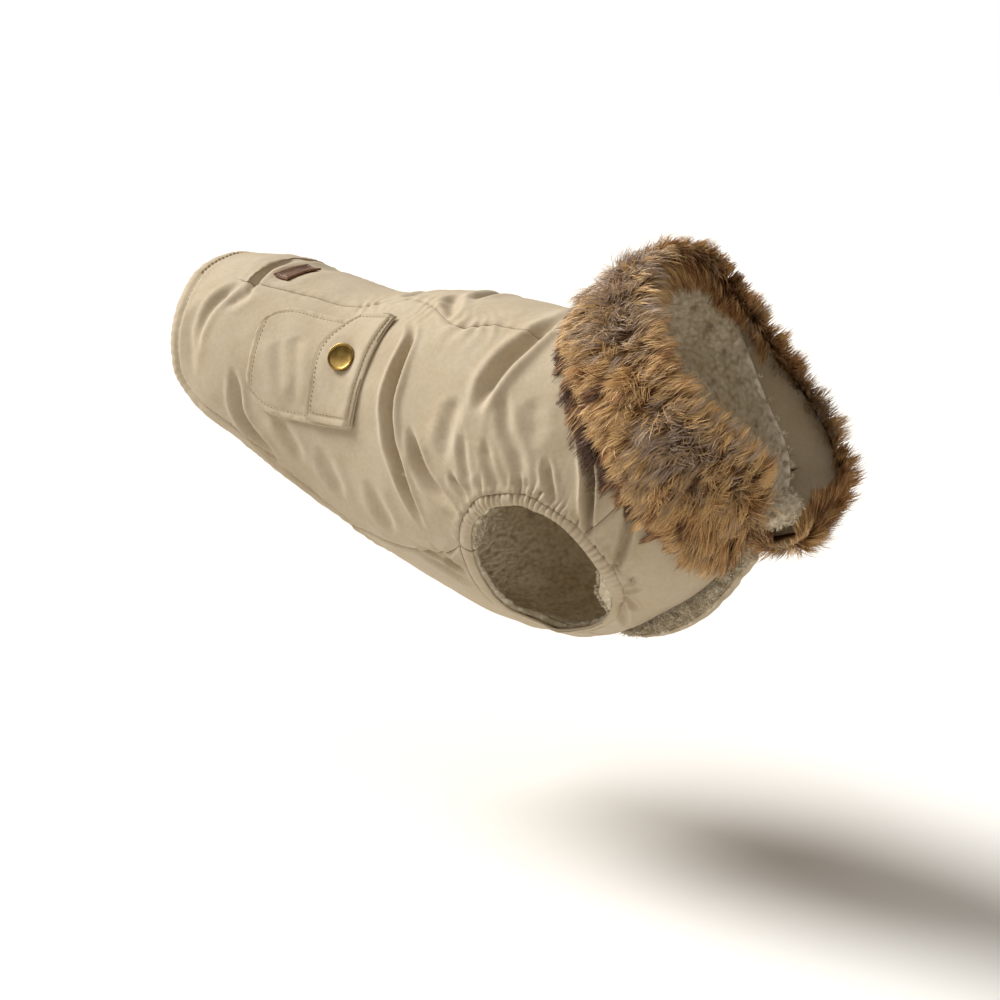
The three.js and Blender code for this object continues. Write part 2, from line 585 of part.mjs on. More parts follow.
// The fur's reach, from past the free edge down the outside of the band and over the neck seam.
// down: 0 at the free edge and 1 at the seam; crown: its share of the section's crown.
const FUR_CLEAR = 0.8        // between the fur's underside and the cloth
const FUR_ACROSS = [
  { down: 0, crown: 0.72 },
  { down: 0.33, crown: 0.97 },
  { down: 0.67, crown: 1 },
  { down: 0.95, crown: 0.88 },
]
const FUR_RIM = 2            // pile at the two long edges of the fur
function furLine({ angle, seam, crown, past, over, edge: { edge, rise, out } }, high) {
  const raised = (point, direction, share, rim = 0) =>
    point.clone().addScaledVector(direction, FUR_CLEAR + (high ? crown * share + rim : 0))
  const perStation = formPoint(LAST, angle).distanceTo(formPoint(LAST - 1, angle))
  const station = LAST - over / perStation
  const shellOut = formNormal(station, angle)
  const blend = out.clone().add(formNormal(LAST - 0.05, angle)).normalize()
  return [
    raised(edge.clone().addScaledVector(rise, past), out, 0, FUR_RIM),
    ...FUR_ACROSS.map(({ down, crown: share }) => raised(edge.clone().lerp(seam, down), out, share)),
    raised(seam, blend, 0.8),
    raised(formPoint(station, angle), shellOut, 0, FUR_RIM),
  ]
}
const furOutside = sections.map(section => furLine(section, true))
const furInside = sections.map(section => furLine(section, false))
add('fur_trim', wallGeometry(furOutside, furInside), furPile())

// The left front's facing curls over at the throat: a soft roll, thick in the middle.
const ROLL = [
  { at: [141, -8, -88], radius: 4 },
  { at: [147, -7, -86], radius: 6.5 },
  { at: [151, -2, -84], radius: 7.5 },
  { at: [152, 4, -82], radius: 6 },
  { at: [147.4, 12.6, -84], radius: 3.2 },
]
const ROLL_STEPS = 9
const ROLL_SIDES = 10
function rollGeometry() {
  const row = f => f * (ROLL.length - 1)
  const centre = f => smoothPoint(ROLL.map(line => line.at), row(f))
  const rings = steps(ROLL_STEPS, f => {
    const middle = centre(f)
    const forward = centre(Math.min(f + 0.02, 1)).sub(centre(Math.max(f - 0.02, 0))).normalize()
    const across = new THREE.Vector3(0, 1, 0).cross(forward).normalize()
    const up = forward.clone().cross(across)
    const radius = smooth(ROLL.map(line => line.radius), row(f))
    const around = turn => middle.clone().addScaledVector(across, radius * Math.cos(turn))
      .addScaledVector(up, radius * Math.sin(turn))
    return steps(ROLL_SIDES / 2, half => [around(Math.PI * half), around(-Math.PI * half)])
  })
  // Front and back halves of each ring are the two faces of a wall that meet at its long edges.
  return wallGeometry(...[0, 1].map(half => rings.map(ring => ring.map(pair => pair[half]))))
}
add('front_roll_left', rollGeometry(), sherpaCloth())

export default coat
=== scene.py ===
# %% [markdown]
# # A small dog's winter coat
# The coat is cotton twill outside and curled sherpa inside, cut in seven panels, with elastic armhole
# bands, a pocket with a snapped flap, a leather patch and a standing collar faced with fake fur.
# It keeps the hollow form that it has when worn. Every sheet below is worked out on one form: rings
# that lean, from the tail to the neck. A place on it is a pair, the station (a count of rings) and the
# angle from the spine in degrees, plus on the dog's right. Lengths are in millimetres until a mesh is
# made.

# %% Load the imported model
import itertools
import math

import bpy
import numpy as np
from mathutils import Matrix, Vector
from mathutils.kdtree import KDTree


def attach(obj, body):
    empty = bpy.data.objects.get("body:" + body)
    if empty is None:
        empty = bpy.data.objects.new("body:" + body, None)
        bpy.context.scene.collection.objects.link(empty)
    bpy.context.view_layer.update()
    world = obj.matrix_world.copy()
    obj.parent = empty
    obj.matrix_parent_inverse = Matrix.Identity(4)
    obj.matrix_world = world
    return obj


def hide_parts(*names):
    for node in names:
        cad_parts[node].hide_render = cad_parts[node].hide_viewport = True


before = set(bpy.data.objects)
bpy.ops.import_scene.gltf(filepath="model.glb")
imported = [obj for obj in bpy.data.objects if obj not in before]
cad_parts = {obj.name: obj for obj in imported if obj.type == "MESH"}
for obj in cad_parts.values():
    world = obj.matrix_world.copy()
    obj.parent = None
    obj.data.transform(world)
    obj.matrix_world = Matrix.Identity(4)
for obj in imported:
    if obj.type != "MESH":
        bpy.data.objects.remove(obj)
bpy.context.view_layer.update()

MM = 0.001

# %% [markdown]
# ## The form
# A dog's coat is drafted on a few girths along the back. Each ring has a top and a belly point on the
# centre line, a half width and the height at which it is widest. A Catmull-Rom curve through each
# column joins the rings softly, as a tailor's curve does.

# %% Rings and smooth columns
RINGS = {
    #         tail  hip    loin    waist ribs  girth armhole shoulder neck
    "top_x": (-259, -221, -172, -125, -75, -30, 2, 22, 38),
    "top_z": (13.5, 15, 8.5, 2, 8, 7, 5, 7, 13),
    "belly_x": (-253, -213, -164, -115, -60, 0, 46, 90, 130),
    "belly_z": (-101, -113.5, -132.5, -146, -162, -174, -170, -145, -109),
    "half": (54, 61.5, 63, 63, 68, 72, 70, 62, 52),
    "widest": (0.5, 0.5, 0.52, 0.53, 0.55, 0.56, 0.56, 0.56, 0.52),
}
LAST = len(RINGS["half"]) - 1
ROUND_TOP = 2.2                  # powers of the ring's curve: 2 is an ellipse, more is squarer
ROUND_BELLY = 2


def lerp(a, b, f):
    return a + (b - a) * f


def bell(value, middle, width):
    """A smooth bump that is 1 at the middle and fades over the width on both sides."""
    return np.exp(-((value - middle) / width) ** 2)


def smooth(values, at):
    """A smooth curve through rows of numbers; at is a place counted in rows."""
    values = np.asarray(values, float)
    at = np.asarray(at, float)
    rows = len(values)
    i = np.clip(np.floor(at).astype(int), 0, rows - 2)
    f = (at - i).reshape(at.shape + (1,) * (values.ndim - 1))
    one, two = values[i], values[i + 1]
    zero = np.where((i > 0).reshape(f.shape), values[np.maximum(i - 1, 0)], 2 * one - two)
    three = np.where((i < rows - 2).reshape(f.shape), values[np.minimum(i + 2, rows - 1)], 2 * two - one)
    bend = 2 * zero - 5 * one + 4 * two - three + f * (3 * (one - two) + three - zero)
    return one + 0.5 * f * (two - zero + f * bend)


def form_point(places):
    """Points of the bare form at places, an array of (station, angle)."""
    station, angle = places[..., 0], places[..., 1]
    top_x, top_z, belly_x, belly_z, half, widest = (smooth(RINGS[name], station) for name in RINGS)
    upper = np.abs(angle) <= 90
    power = 2 / np.where(upper, ROUND_TOP, ROUND_BELLY)
    sine, cosine = np.sin(np.radians(angle)), np.abs(np.cos(np.radians(angle)))
    drop = cosine ** power
    down = np.where(upper, widest * (1 - drop), widest + (1 - widest) * drop)
    side = -half * np.sign(sine) * np.abs(sine) ** power
    return np.stack([lerp(top_x, belly_x, down), side, lerp(top_z, belly_z, down)], -1)


def unit(vectors):
    return vectors / np.maximum(np.linalg.norm(vectors, axis=-1, keepdims=True), 1e-9)


def form_normal(places):
    """Outward normals of the bare form, from small steps along and around it."""
    step = np.array([0.02, 0])       # a fiftieth of a ring
    turn = np.array([0, 1.0])        # a degree
    ahead = np.minimum(places + step, [LAST, np.inf])
    along = form_point(ahead) - form_point(ahead - 2 * step)
    around = form_point(places + turn) - form_point(places - turn)
    return unit(np.cross(around, along))


def places_from(rows, count):
    """Places spread evenly along the rows of a table of (station, angle)."""
    return smooth(np.array(rows, float), np.linspace(0, len(rows) - 1, count + 1))


def raise_off(base, normal, height):
    """Points at a height over points of the form, in millimetres."""
    return base + normal * height[..., None]


CHEST_STATION = 5.0
girth = form_point(np.stack([np.full(361, CHEST_STATION), np.arange(-180, 181.0)], -1))
girth_mm = np.linalg.norm(np.diff(girth, axis=0), axis=1).sum()
print(f"form: {LAST + 1} rings, {girth_mm:.0f} mm round the chest")

# %% [markdown]
# ## Pattern seams
# The seams are short tables on the form. Neighbouring panels read the same table, so they meet, and
# the grid of each panel is a Coons patch: a sheet of places blended from its four edges.

# %% Seam tables and the armhole
BACK_SEAM = {  # station: angle on the right, angle on the left; it wanders where the waist is gathered
    0.02: (33, 33), 0.6: (32, 32), 1.25: (31, 31), 2.2: (25.5, 26), 3: (22, 21), 3.5: (13, 15),
    4: (17, 22), 4.7: (29, 26), 5.4: (23.5, 24), 6.5: (25, 25), 8: (24, 24),
}
YOKE_ROWS = 3
HEM = ((0.02, 33), (0.05, 60), (0.03, 85), (0.12, 103), (0.6, 116), (1.42, 120), (2.1, 125), (2.9, 138))
BELLY_HEM = ((2.9, 138), (3.15, 155), (3.25, 180))
BELLY_SEAM = ((2.9, 138), (3.9, 126.5), (4.7, 113))
SHOULDER_ANGLE = 106
CROSS_STATION = 6.1
FRONT_ANGLE = 176
ARMHOLE_AT = (5.985, 121)
ARMHOLE_REACH = (0.865, 33)      # in stations and degrees
BAND_REACH = (0.17, 3.2)         # the panels end this much further out
FACING_REACH = (-0.06, -2.5)     # the sherpa facing shows this much inside the band
AT_SHOULDER, AT_BELLY_SEAM, AT_CROSS_SEAM = 21, 165, 270   # degrees round the armhole, from its front
TWILL = 1.6                      # thicknesses in millimetres, and the lining's two faces
SHERPA = 3
LINING_TOP = -TWILL - 1.0
LINING_FACE = LINING_TOP - SHERPA


def armhole_place(turn, reach=BAND_REACH):
    """Places round the right armhole; turn is in degrees from its front."""
    turn = np.asarray(turn, float)
    c, s = np.cos(np.radians(turn)), np.sin(np.radians(turn))
    power = 2 / np.where((c < 0) & (s > 0), 3, 2.2)
    station = ARMHOLE_AT[0] + (ARMHOLE_REACH[0] + reach[0]) * np.sign(c) * np.abs(c) ** power
    angle = ARMHOLE_AT[1] - (ARMHOLE_REACH[1] + reach[1]) * np.sign(s) * np.abs(s) ** power
    return np.stack([station, angle], -1)


def arc(start, end, count):
    return armhole_place(np.linspace(start, end, count + 1))


def straight(start, end, count):
    return lerp(np.asarray(start, float), np.asarray(end, float), np.linspace(0, 1, count + 1)[:, None])


def back_seam(side, first, last, count):
    rows = [(station, angles[side == "left"]) for station, angles in BACK_SEAM.items()][first:last]
    return places_from(rows, count) * ((1, -1) if side == "left" else (1, 1))


def join(*runs):
    return np.concatenate([run if n == 0 else run[1:] for n, run in enumerate(runs)])


def belly_seam(count):
    return places_from([*BELLY_SEAM, tuple(armhole_place(AT_BELLY_SEAM))], count)


def shoulder_seam(count):
    return straight(armhole_place(AT_SHOULDER), (LAST, SHOULDER_ANGLE), count)


def patch(top, bottom, start, end, bow=None):
    """A grid of places inside four runs that meet at their ends."""
    u = np.linspace(0, 1, len(top))[:, None, None]
    v = np.linspace(0, 1, len(start))[None, :, None]
    corners = lerp(lerp(top[0], top[-1], u), lerp(bottom[0], bottom[-1], u), v)
    grid = lerp(top[:, None], bottom[:, None], v) + lerp(start[None], end[None], u) - corners
    if bow:
        grid[..., 0] += bow(u, v)[..., 0]
    return grid


FLIP = np.array([1, -1.0])
print("seams:", len(BACK_SEAM), "rows down the back,", len(HEM), "round the hem")

# %% Grids of the seven panels
YOKE_LAP = (1.04, 1.03)          # over the back panel and over the side panels
YOKE_LIFT = 0.7                  # millimetres that its lapped end lies higher
YOKE_LIFT_FROM, YOKE_LIFT_OVER = 1.0, 0.25    # stations
FINE = 12                        # grid steps to each step of the plain solid's seams


def tail_yoke(fine=FINE):
    """It laps a millimetre or two over its neighbours."""
    right, left = (back_seam(side, 0, YOKE_ROWS, 3 * fine) * YOKE_LAP for side in ("right", "left"))
    return patch(right, left, straight(right[0], left[0], 5 * fine), straight(right[-1], left[-1], 5 * fine))


def back_panel(fine=FINE):
    right, left = (back_seam(side, YOKE_ROWS - 1, None, 17 * fine) for side in ("right", "left"))
    return patch(right, left, straight(right[0], left[0], 5 * fine), straight(right[-1], left[-1], 5 * fine))


def side_panel(side, fine=FINE):
    mirror = FLIP if side == "left" else 1
    top = join(back_seam(side, 0, YOKE_ROWS, 3 * fine), back_seam(side, YOKE_ROWS - 1, None, 17 * fine))
    low = join(belly_seam(8 * fine), arc(AT_BELLY_SEAM, AT_SHOULDER, 8 * fine), shoulder_seam(4 * fine))
    low, rear = low * mirror, places_from(HEM, 9 * fine) * mirror
    return patch(top, low, rear, straight(top[-1], low[-1], 9 * fine),
                 lambda u, v: 9 * u ** 3 * np.sin(np.pi * u) * v * v * (1 - v))


def belly_panel(fine=FINE):
    right = join(belly_seam(8 * fine), arc(AT_BELLY_SEAM, AT_CROSS_SEAM, 5 * fine))
    left = right * (1, -1) + (0, 360)
    rear = places_from(BELLY_HEM, 5 * fine)
    front = straight(right[-1], (CROSS_STATION, 180), 5 * fine)
    whole = [join(half, half[::-1] * (1, -1) + (0, 360)) for half in (rear, front)]
    return patch(right, left, *whole, lambda u, v: -4 * np.sin(np.pi * u) * v * (1 - v))


def chest_panel(side, fine=FINE):
    top = join(shoulder_seam(4 * fine)[::-1], arc(AT_SHOULDER, AT_CROSS_SEAM - 360, 7 * fine))
    grid = patch(top, straight((LAST, FRONT_ANGLE), (CROSS_STATION, FRONT_ANGLE), 11 * fine),
                 straight((LAST, SHOULDER_ANGLE), (LAST, FRONT_ANGLE), 5 * fine),
                 straight(top[-1], (CROSS_STATION, FRONT_ANGLE), 5 * fine))
    return grid * FLIP if side == "left" else grid


PANELS = {
    "tail_yoke": tail_yoke, "back_panel": back_panel,
    "side_panel_right": lambda fine=FINE: side_panel("right", fine),
    "side_panel_left": lambda fine=FINE: side_panel("left", fine),
    "belly_panel": belly_panel,
    "chest_panel_right": lambda fine=FINE: chest_panel("right", fine),
    "chest_panel_left": lambda fine=FINE: chest_panel("left", fine),
}
for panel_name, grid_of in PANELS.items():
    print(panel_name, "x".join(str(n) for n in grid_of().shape[:2]))

# %% [markdown]
# ## Creases, puckers and unevenness
# Cotton twill over a springy lining folds in soft troughs with a raised rim, not in sharp lines. Each
# main crease is given as a short line of places, with its own width and depth, and its ends
# fade out. Negative depths are ridges. Where thread or elastic draws the cloth up, the puckers run
# square to the seam. A cloth simulation would move every fold at once, so the folds are drawn instead.

# %% The creases
CREASES = (
    # width and depth in mm, places along the middle of the fold; first those of the right side
    (3.0, 8.0, ((3.98, 31), (4.14, 40), (4.11, 55), (4.07, 68), (4.13, 79), (4.25, 86.5), (4.39, 97),
                (4.5, 106))),
    (3.2, 6.2, ((4.38, 72), (4.48, 78.5), (4.61, 84.5), (4.78, 88), (5.05, 91))),
    (4.6, 5.4, ((6.7, 6), (6.6, 15), (6.35, 27), (5.95, 38.5), (5.68, 49), (5.56, 56), (5.5, 62))),
    (3.8, -1.3, ((7.3, 21), (7.04, 26.5), (6.7, 32.5), (6.37, 39.5), (6.04, 47), (5.82, 55), (5.68, 62),
                 (5.6, 70))),
    (5.0, 2.3, ((5.12, 57), (5.06, 62), (4.97, 71), (4.95, 80))),
    (3.5, 2.2, ((6.0, 52), (6.02, 58), (6.08, 66), (6.2, 72), (6.27, 78), (6.27, 86))),
    (5.3, 1.2, ((6.72, 56), (6.65, 64), (6.6, 74))),
    (2.3, 9.6, ((7.58, 68), (7.5, 75), (7.46, 82.5), (7.38, 88), (7.25, 94.7), (7.09, 103), (6.98, 110))),
    (1.9, 2.7, ((5.0, 81), (5.12, 84.5), (5.32, 88))),
    (2.6, 1.9, ((5.24, 66), (5.27, 76), (5.36, 88))),
    (2.6, 1.9, ((5.66, 68), (5.72, 77), (5.86, 87))),
    (1.9, 2.1, ((6.18, 79), (6.22, 87))),
    (2.3, 3.5, ((6.75, 77), (6.71, 84), (6.68, 91))),
    (2.4, 6.0, ((7.78, 105), (7.68, 110), (7.45, 117), (7.14, 124.5), (6.95, 128.5))),
    (2.6, 2.9, ((4.56, 113), (4.72, 117), (4.92, 122))),
    (2.3, 2.9, ((4.2, 117.5), (4.55, 118), (4.93, 118.5))),
    (3.1, 2.1, ((4.1, 122), (4.55, 123), (4.96, 125))),
    (1.5, 2.2, ((6.88, 139.5), (7.03, 137.5), (7.2, 136))),
    (1.5, 1.8, ((6.87, 140.8), (6.97, 141.5), (7.1, 144))),
    (1.6, 2.2, ((6.84, 142.2), (6.83, 147.5), (6.75, 158))),
    (2.0, 2.6, ((6.79, 143.7), (6.65, 151), (6.36, 168))),
    (3.6, 3.2, ((1.24, 33), (1.12, 41), (0.98, 50), (0.86, 61), (0.81, 72), (0.86, 82))),
    (4.0, 2.2, ((1.46, 34), (1.38, 40), (1.28, 46), (1.17, 52))),
    (3.5, 4.5, ((1.5, 79), (1.56, 86), (1.57, 98), (1.71, 106), (1.98, 112), (2.1, 118))),
    (4.4, 2.1, ((2.25, 87), (2.31, 91), (2.51, 99), (2.62, 107))),
    (4.6, 1.0, ((2.2, 55), (2.23, 61), (2.32, 71), (2.36, 79))),
    (4.6, 1.0, ((2.45, 50), (2.47, 55), (2.56, 69), (2.6, 81))),
    (5.3, 1.8, ((0.72, 50), (0.6, 75), (0.7, 94))),
    (5.3, 2.1, ((2.9, 92), (3.1, 104), (3.2, 115))),
    (5.3, 2.2, ((3.7, 96), (3.85, 108), (3.95, 119))),
    (2.4, 4.2, ((1.42, 40), (1.39, 30), (1.365, 19), (1.35, 7), (1.35, -6))),
    (7.5, 2.0, ((1.7, -34), (1.66, -12), (1.64, 8), (1.68, 27))),
    # over the spine
    (4.0, 3.8, ((4.2, 3), (4.28, 11), (4.45, 20), (4.55, 28))),
    (4.4, 4.5, ((4.5, -22), (4.52, -6), (4.52, 10))),
    (4.4, 3.5, ((3.55, -14), (3.5, 0), (3.52, 12))),
    (5.3, 2.9, ((6.6, -14), (6.75, 0), (6.95, 14))),
    (2.4, 2.6, ((1.4, -36), (1.36, -20), (1.35, -4))),
    (4.4, -0.9, ((1.08, -24), (1.05, 0), (1.12, 26))),
    # the left side
    (3.8, 7.8, ((3.8, -30), (3.9, -42), (3.86, -58), (3.95, -74), (4.15, -88), (4.35, -102))),
    (4.4, 4.8, ((4.42, -68), (4.6, -80), (4.85, -88))),
    (6.2, 5.4, ((6.9, -20), (6.3, -28), (5.9, -38), (5.6, -50), (5.5, -62))),
    (4.4, -2.7, ((7.0, -29), (6.3, -42), (5.85, -54), (5.6, -68))),
    (3.5, 8.0, ((7.5, -66), (7.42, -80), (7.25, -94), (7.0, -107))),
    (4.4, 4.5, ((1.25, -33), (1.0, -48), (0.9, -62), (0.95, -78))),
    (3.5, 3.8, ((1.4, -82), (1.5, -98), (1.75, -112))),
    (5.3, 3.2, ((2.6, -68), (2.7, -88), (2.9, -106))),
    (5.3, 2.4, ((2.15, -40), (2.3, -56), (2.4, -72))),
    (3.5, 5.1, ((7.65, -108), (7.3, -121), (7.04, -128))),
    (1.9, 2.7, ((6.86, -140), (7.14, -135))),
    (1.9, 2.2, ((6.84, -143), (6.76, -151))),
    (2.6, 2.6, ((5.2, -74), (5.32, -85))),
    (2.6, 2.7, ((5.8, -70), (5.86, -84))),
    (2.3, 2.9, ((6.5, -76), (6.48, -89))),
    # under the belly
    (6.2, 3.2, ((4.2, 148), (4.6, 165), (4.7, 187), (4.4, 208))),
    (6.2, 2.7, ((5.2, 140), (5.4, 160), (5.4, 200), (5.2, 222))),
    (7.0, 2.2, ((3.5, 152), (3.62, 180), (3.5, 207))),
)
RIM = 0.28                       # a trough's raised rims, as a share of its depth
RIM_AT, RIM_WIDE = 1.9, 0.8      # in widths of the trough
CREASE_DOTS = 40
FELT = 3.5                       # widths beyond which a crease isn't felt


def off_line(points, middle):
    """How far points are from a line of dots, and their share of the way along it."""
    forward = np.gradient(middle, axis=0)
    step = np.linalg.norm(forward, axis=1)
    forward = forward / step[:, None]
    nearest = np.argmin(np.linalg.norm(points[:, None] - middle[None], axis=-1), axis=1)
    gap = points - middle[nearest]
    ahead = np.clip(np.einsum("ij,ij->i", gap, forward[nearest]), -0.6 * step[nearest], 0.6 * step[nearest])
    away = np.linalg.norm(gap - forward[nearest] * ahead[:, None], axis=1)
    return away, (nearest + ahead / step[nearest]) / (len(middle) - 1)


def crease_depth(points, spread=1.0, rim=RIM):
    """How far the creases sink the cloth at points of the bare form; ridges have no rims."""
    depth = np.zeros(points.shape[:-1])
    for width, deep, line in CREASES:
        width = width * spread
        middle = form_point(places_from(line, CREASE_DOTS))
        low, high = middle.min(0) - FELT * width, middle.max(0) + FELT * width
        near = np.all((points > low) & (points < high), axis=-1)
        if not near.any():
            continue
        away, share = off_line(points[near], middle)
        fade = np.clip(np.sin(np.pi * np.clip(share, 0.0, 1.0)) * 1.25, 0, 1) ** 1.2   # to its ends
        away = away / (width * (0.6 + 0.4 * fade))
        profile = np.exp(-away ** 2) - rim * (deep > 0) * bell(away, RIM_AT, RIM_WIDE)
        depth[near] += deep * fade * profile
    return depth


NOISE_TABLE = 4096
NOISE_KEYS = (73856093, 19349663, 83492791)     # primes that scatter the cells over the table


def noise(points, size, seed):
    """A smooth random field from -1 to 1, its lumps about size apart."""
    table = np.random.default_rng(seed).uniform(-1, 1, NOISE_TABLE)
    scaled = np.asarray(points) / size + 500
    cell = np.floor(scaled).astype(np.int64)
    f = scaled - cell
    f = f * f * (3 - 2 * f)
    total = np.zeros(f.shape[:-1])
    for corner in itertools.product((0, 1), repeat=3):
        key = ((cell + corner) * NOISE_KEYS).T
        pick = table[((key[0] ^ key[1] ^ key[2]) % NOISE_TABLE).T]
        total += pick * np.prod(np.where(corner, f, 1 - f), axis=-1)
    return total


print(len(CREASES), "creases")

# %% [markdown]
# The cloth also feels its seams, hems and armholes. Each is a dense line of dots in a KD-tree, a table
# that finds the nearest dot to a point quickly.

# %% Lines that the cloth feels
DOT_STEP = 0.6                   # millimetres


class Line:
    """A line on the form that finds, for any point, how far it is and where along the line."""

    def __init__(self, runs):
        dense = []
        for run in runs:
            points = form_point(run)
            steps = np.linalg.norm(np.diff(points, axis=0), axis=1)
            along = np.concatenate([[0], np.cumsum(steps)])
            dots = np.arange(0, along[-1], DOT_STEP)
            dense.append(np.column_stack([*(np.interp(dots, along, points[:, k]) for k in range(3)), dots]))
        self.rows = np.concatenate(dense)
        self.forward = np.concatenate([unit(np.gradient(run[:, :3], axis=0)) for run in dense])
        self.tree = KDTree(len(self.rows))
        for n, row in enumerate(self.rows):
            self.tree.insert(row[:3], n)
        self.tree.balance()

    def near(self, points):
        """How far points are from the line, and how far along it the nearest place is."""
        flat = points.reshape(-1, 3)
        dot = np.array([self.tree.find(p)[1] for p in flat])
        gap = flat - self.rows[dot, :3]
        ahead = np.clip(np.einsum("ij,ij->i", gap, self.forward[dot]), -0.4, 0.4)
        distance = np.linalg.norm(gap - self.forward[dot] * ahead[:, None], axis=1)
        return distance.reshape(points.shape[:-1]), (self.rows[dot, 3] + ahead).reshape(points.shape[:-1])


def both_sides(run):
    return [run, run * FLIP]


yoke_cross = straight((1.25, 31), (1.25, -31), 40)
SEAMS = Line([back_seam("right", 2, None, 300), back_seam("left", 2, None, 300), yoke_cross,
              *both_sides(belly_seam(120)), *both_sides(shoulder_seam(60)),
              *both_sides(straight(armhole_place(AT_CROSS_SEAM), (CROSS_STATION, 180), 60))])
HEMS = Line([*both_sides(places_from(HEM, 300)), straight((0.02, 33), (0.02, -33), 60),
             *both_sides(places_from(BELLY_HEM, 80))])
ARMHOLES = Line(both_sides(arc(0, 360, 400)))
GATHERED_BACK = Line([back_seam(side, 4, 9, 200) for side in ("right", "left")])
print("lines:", *(len(line.rows) for line in (SEAMS, HEMS, ARMHOLES)), "dots")

# %% [markdown]
# ## Materials
# Each finish starts from what the real one is. One function turns sRGB hex colours to the linear values
# that the shaders add up, and one function adds a node. Threads are counted in millimetres on the UV
# map of the cut, so the weave runs with each panel.

# %% Colour and node helpers
def to_linear(code):
    parts = [int(code[k:k + 2], 16) / 255 for k in (1, 3, 5)]
    return (*(c / 12.92 if c <= 0.04045 else ((c + 0.055) / 1.055) ** 2.4 for c in parts), 1)


def add_node(tree, kind, values=None, links=None, **settings):
    """Adds a node with its settings, the values of its sockets and the links into them."""
    made = tree.nodes.new("ShaderNode" + kind)
    for name, value in settings.items():
        setattr(made, name, value)
    for socket, value in (values or {}).items():
        made.inputs[socket].default_value = value
    for socket, source in (links or {}).items():
        tree.links.new(source, made.inputs[socket])
    return made


def add_ramp(tree, source, stops):
    ramp = add_node(tree, "ValToRGB", links={0: source})
    while len(ramp.color_ramp.elements) < len(stops):
        ramp.color_ramp.elements.new(0.5)
    for element, (place, code) in zip(ramp.color_ramp.elements, stops):
        element.position = place
        element.color = to_linear(code)
    return ramp.outputs[0]


MIX_COLOUR = {"Factor": 0, "A": 6, "B": 7}
MIXED = 2


def mix(tree, factor, a, b, blend="MIX"):
    """Blends two colours; each of the three is a socket, or a value."""
    made = add_node(tree, "Mix", data_type="RGBA", blend_type=blend)
    for name, thing in (("Factor", factor), ("A", a), ("B", b)):
        socket = made.inputs[MIX_COLOUR[name]]
        if isinstance(thing, bpy.types.NodeSocket):
            tree.links.new(thing, socket)
        else:
            socket.default_value = to_linear(thing) if isinstance(thing, str) else thing
    return made.outputs[MIXED]


def new_material(name, **shader):
    """A material with its Principled shader's plain values set on its own sockets."""
    material = bpy.data.materials.new(name)
    material.use_nodes = True
    tree = material.node_tree
    principled = tree.nodes["Principled BSDF"]
    for socket, value in shader.items():
        principled.inputs[socket.replace("_", " ")].default_value = value
    print("material:", name)
    return material, tree, principled


def in_object_space(tree):
    """The place on the piece in metres, so a pattern keeps its real size."""
    return add_node(tree, "TexCoord").outputs["Object"]


def noise_of(tree, place, scale, detail=3.0, roughness=0.5):
    """Noise whose lumps are about 1/scale metres apart."""
    return add_node(tree, "TexNoise", {"Scale": scale, "Detail": detail, "Roughness": roughness},
                    {"Vector": place}).outputs[0]


# %% [markdown]
# ### Peached cotton twill
# The shell is a fine cotton twill, brushed on its face so that it looks like soft suede: a short nap
# scatters light at grazing angles, and the weave's diagonal hardly shows. Fine twill has about 30 ribs
# to the inch, so they are 0.8 mm apart.

# %% Twill
RIB = 0.8                        # millimetres from one rib to the next
DIAGONAL_BAND = 0.444            # a diagonal band's width at scale 1, which is 2 pi / (10 sqrt 2)


def twill_material():
    material, tree, shader = new_material("peached cotton twill", Roughness=0.86, Sheen_Weight=0.12,
                                          Sheen_Roughness=0.5, Specular_IOR_Level=0.25)
    place = in_object_space(tree)
    threads = add_node(tree, "UVMap", uv_map="Threads").outputs[0]
    cloudy = noise_of(tree, place, 45, 3)
    fine = noise_of(tree, place, 420, 2)
    base = add_ramp(tree, cloudy, [(0.3, "#B6A68C"), (0.5, "#BAAB92"), (0.72, "#BDAF98")])
    speckle = add_ramp(tree, fine, [(0.3, "#F8F5EF"), (0.65, "#FFFFFF")])
    rib = add_node(tree, "TexWave", {"Scale": DIAGONAL_BAND / RIB, "Distortion": 0.6, "Detail": 2.0,
                                     "Detail Scale": 1.6}, {"Vector": threads},
                   wave_type="BANDS", bands_direction="DIAGONAL").outputs[0]
    toned = mix(tree, 1.0, base, speckle, "MULTIPLY")
    shade = add_ramp(tree, rib, [(0.1, "#FDFBF8"), (0.7, "#FFFFFF")])
    tree.links.new(mix(tree, 1.0, toned, shade, "MULTIPLY"), shader.inputs["Base Color"])
    ribs = add_node(tree, "Bump", {"Strength": 0.02, "Distance": 0.0003}, {"Height": rib})
    nap = noise_of(tree, place, 1500, 2, 0.7)
    soft = add_node(tree, "Bump", {"Strength": 0.08, "Distance": 0.0003},
                    {"Height": nap, "Normal": ribs.outputs[0]})
    slack = add_node(tree, "Bump", {"Strength": 0.05, "Distance": 0.0015},
                     {"Height": noise_of(tree, place, 150, 3), "Normal": soft.outputs[0]})
    tree.links.new(slack.outputs[0], shader.inputs["Normal"])
    return material


TWILL_CLOTH = twill_material()
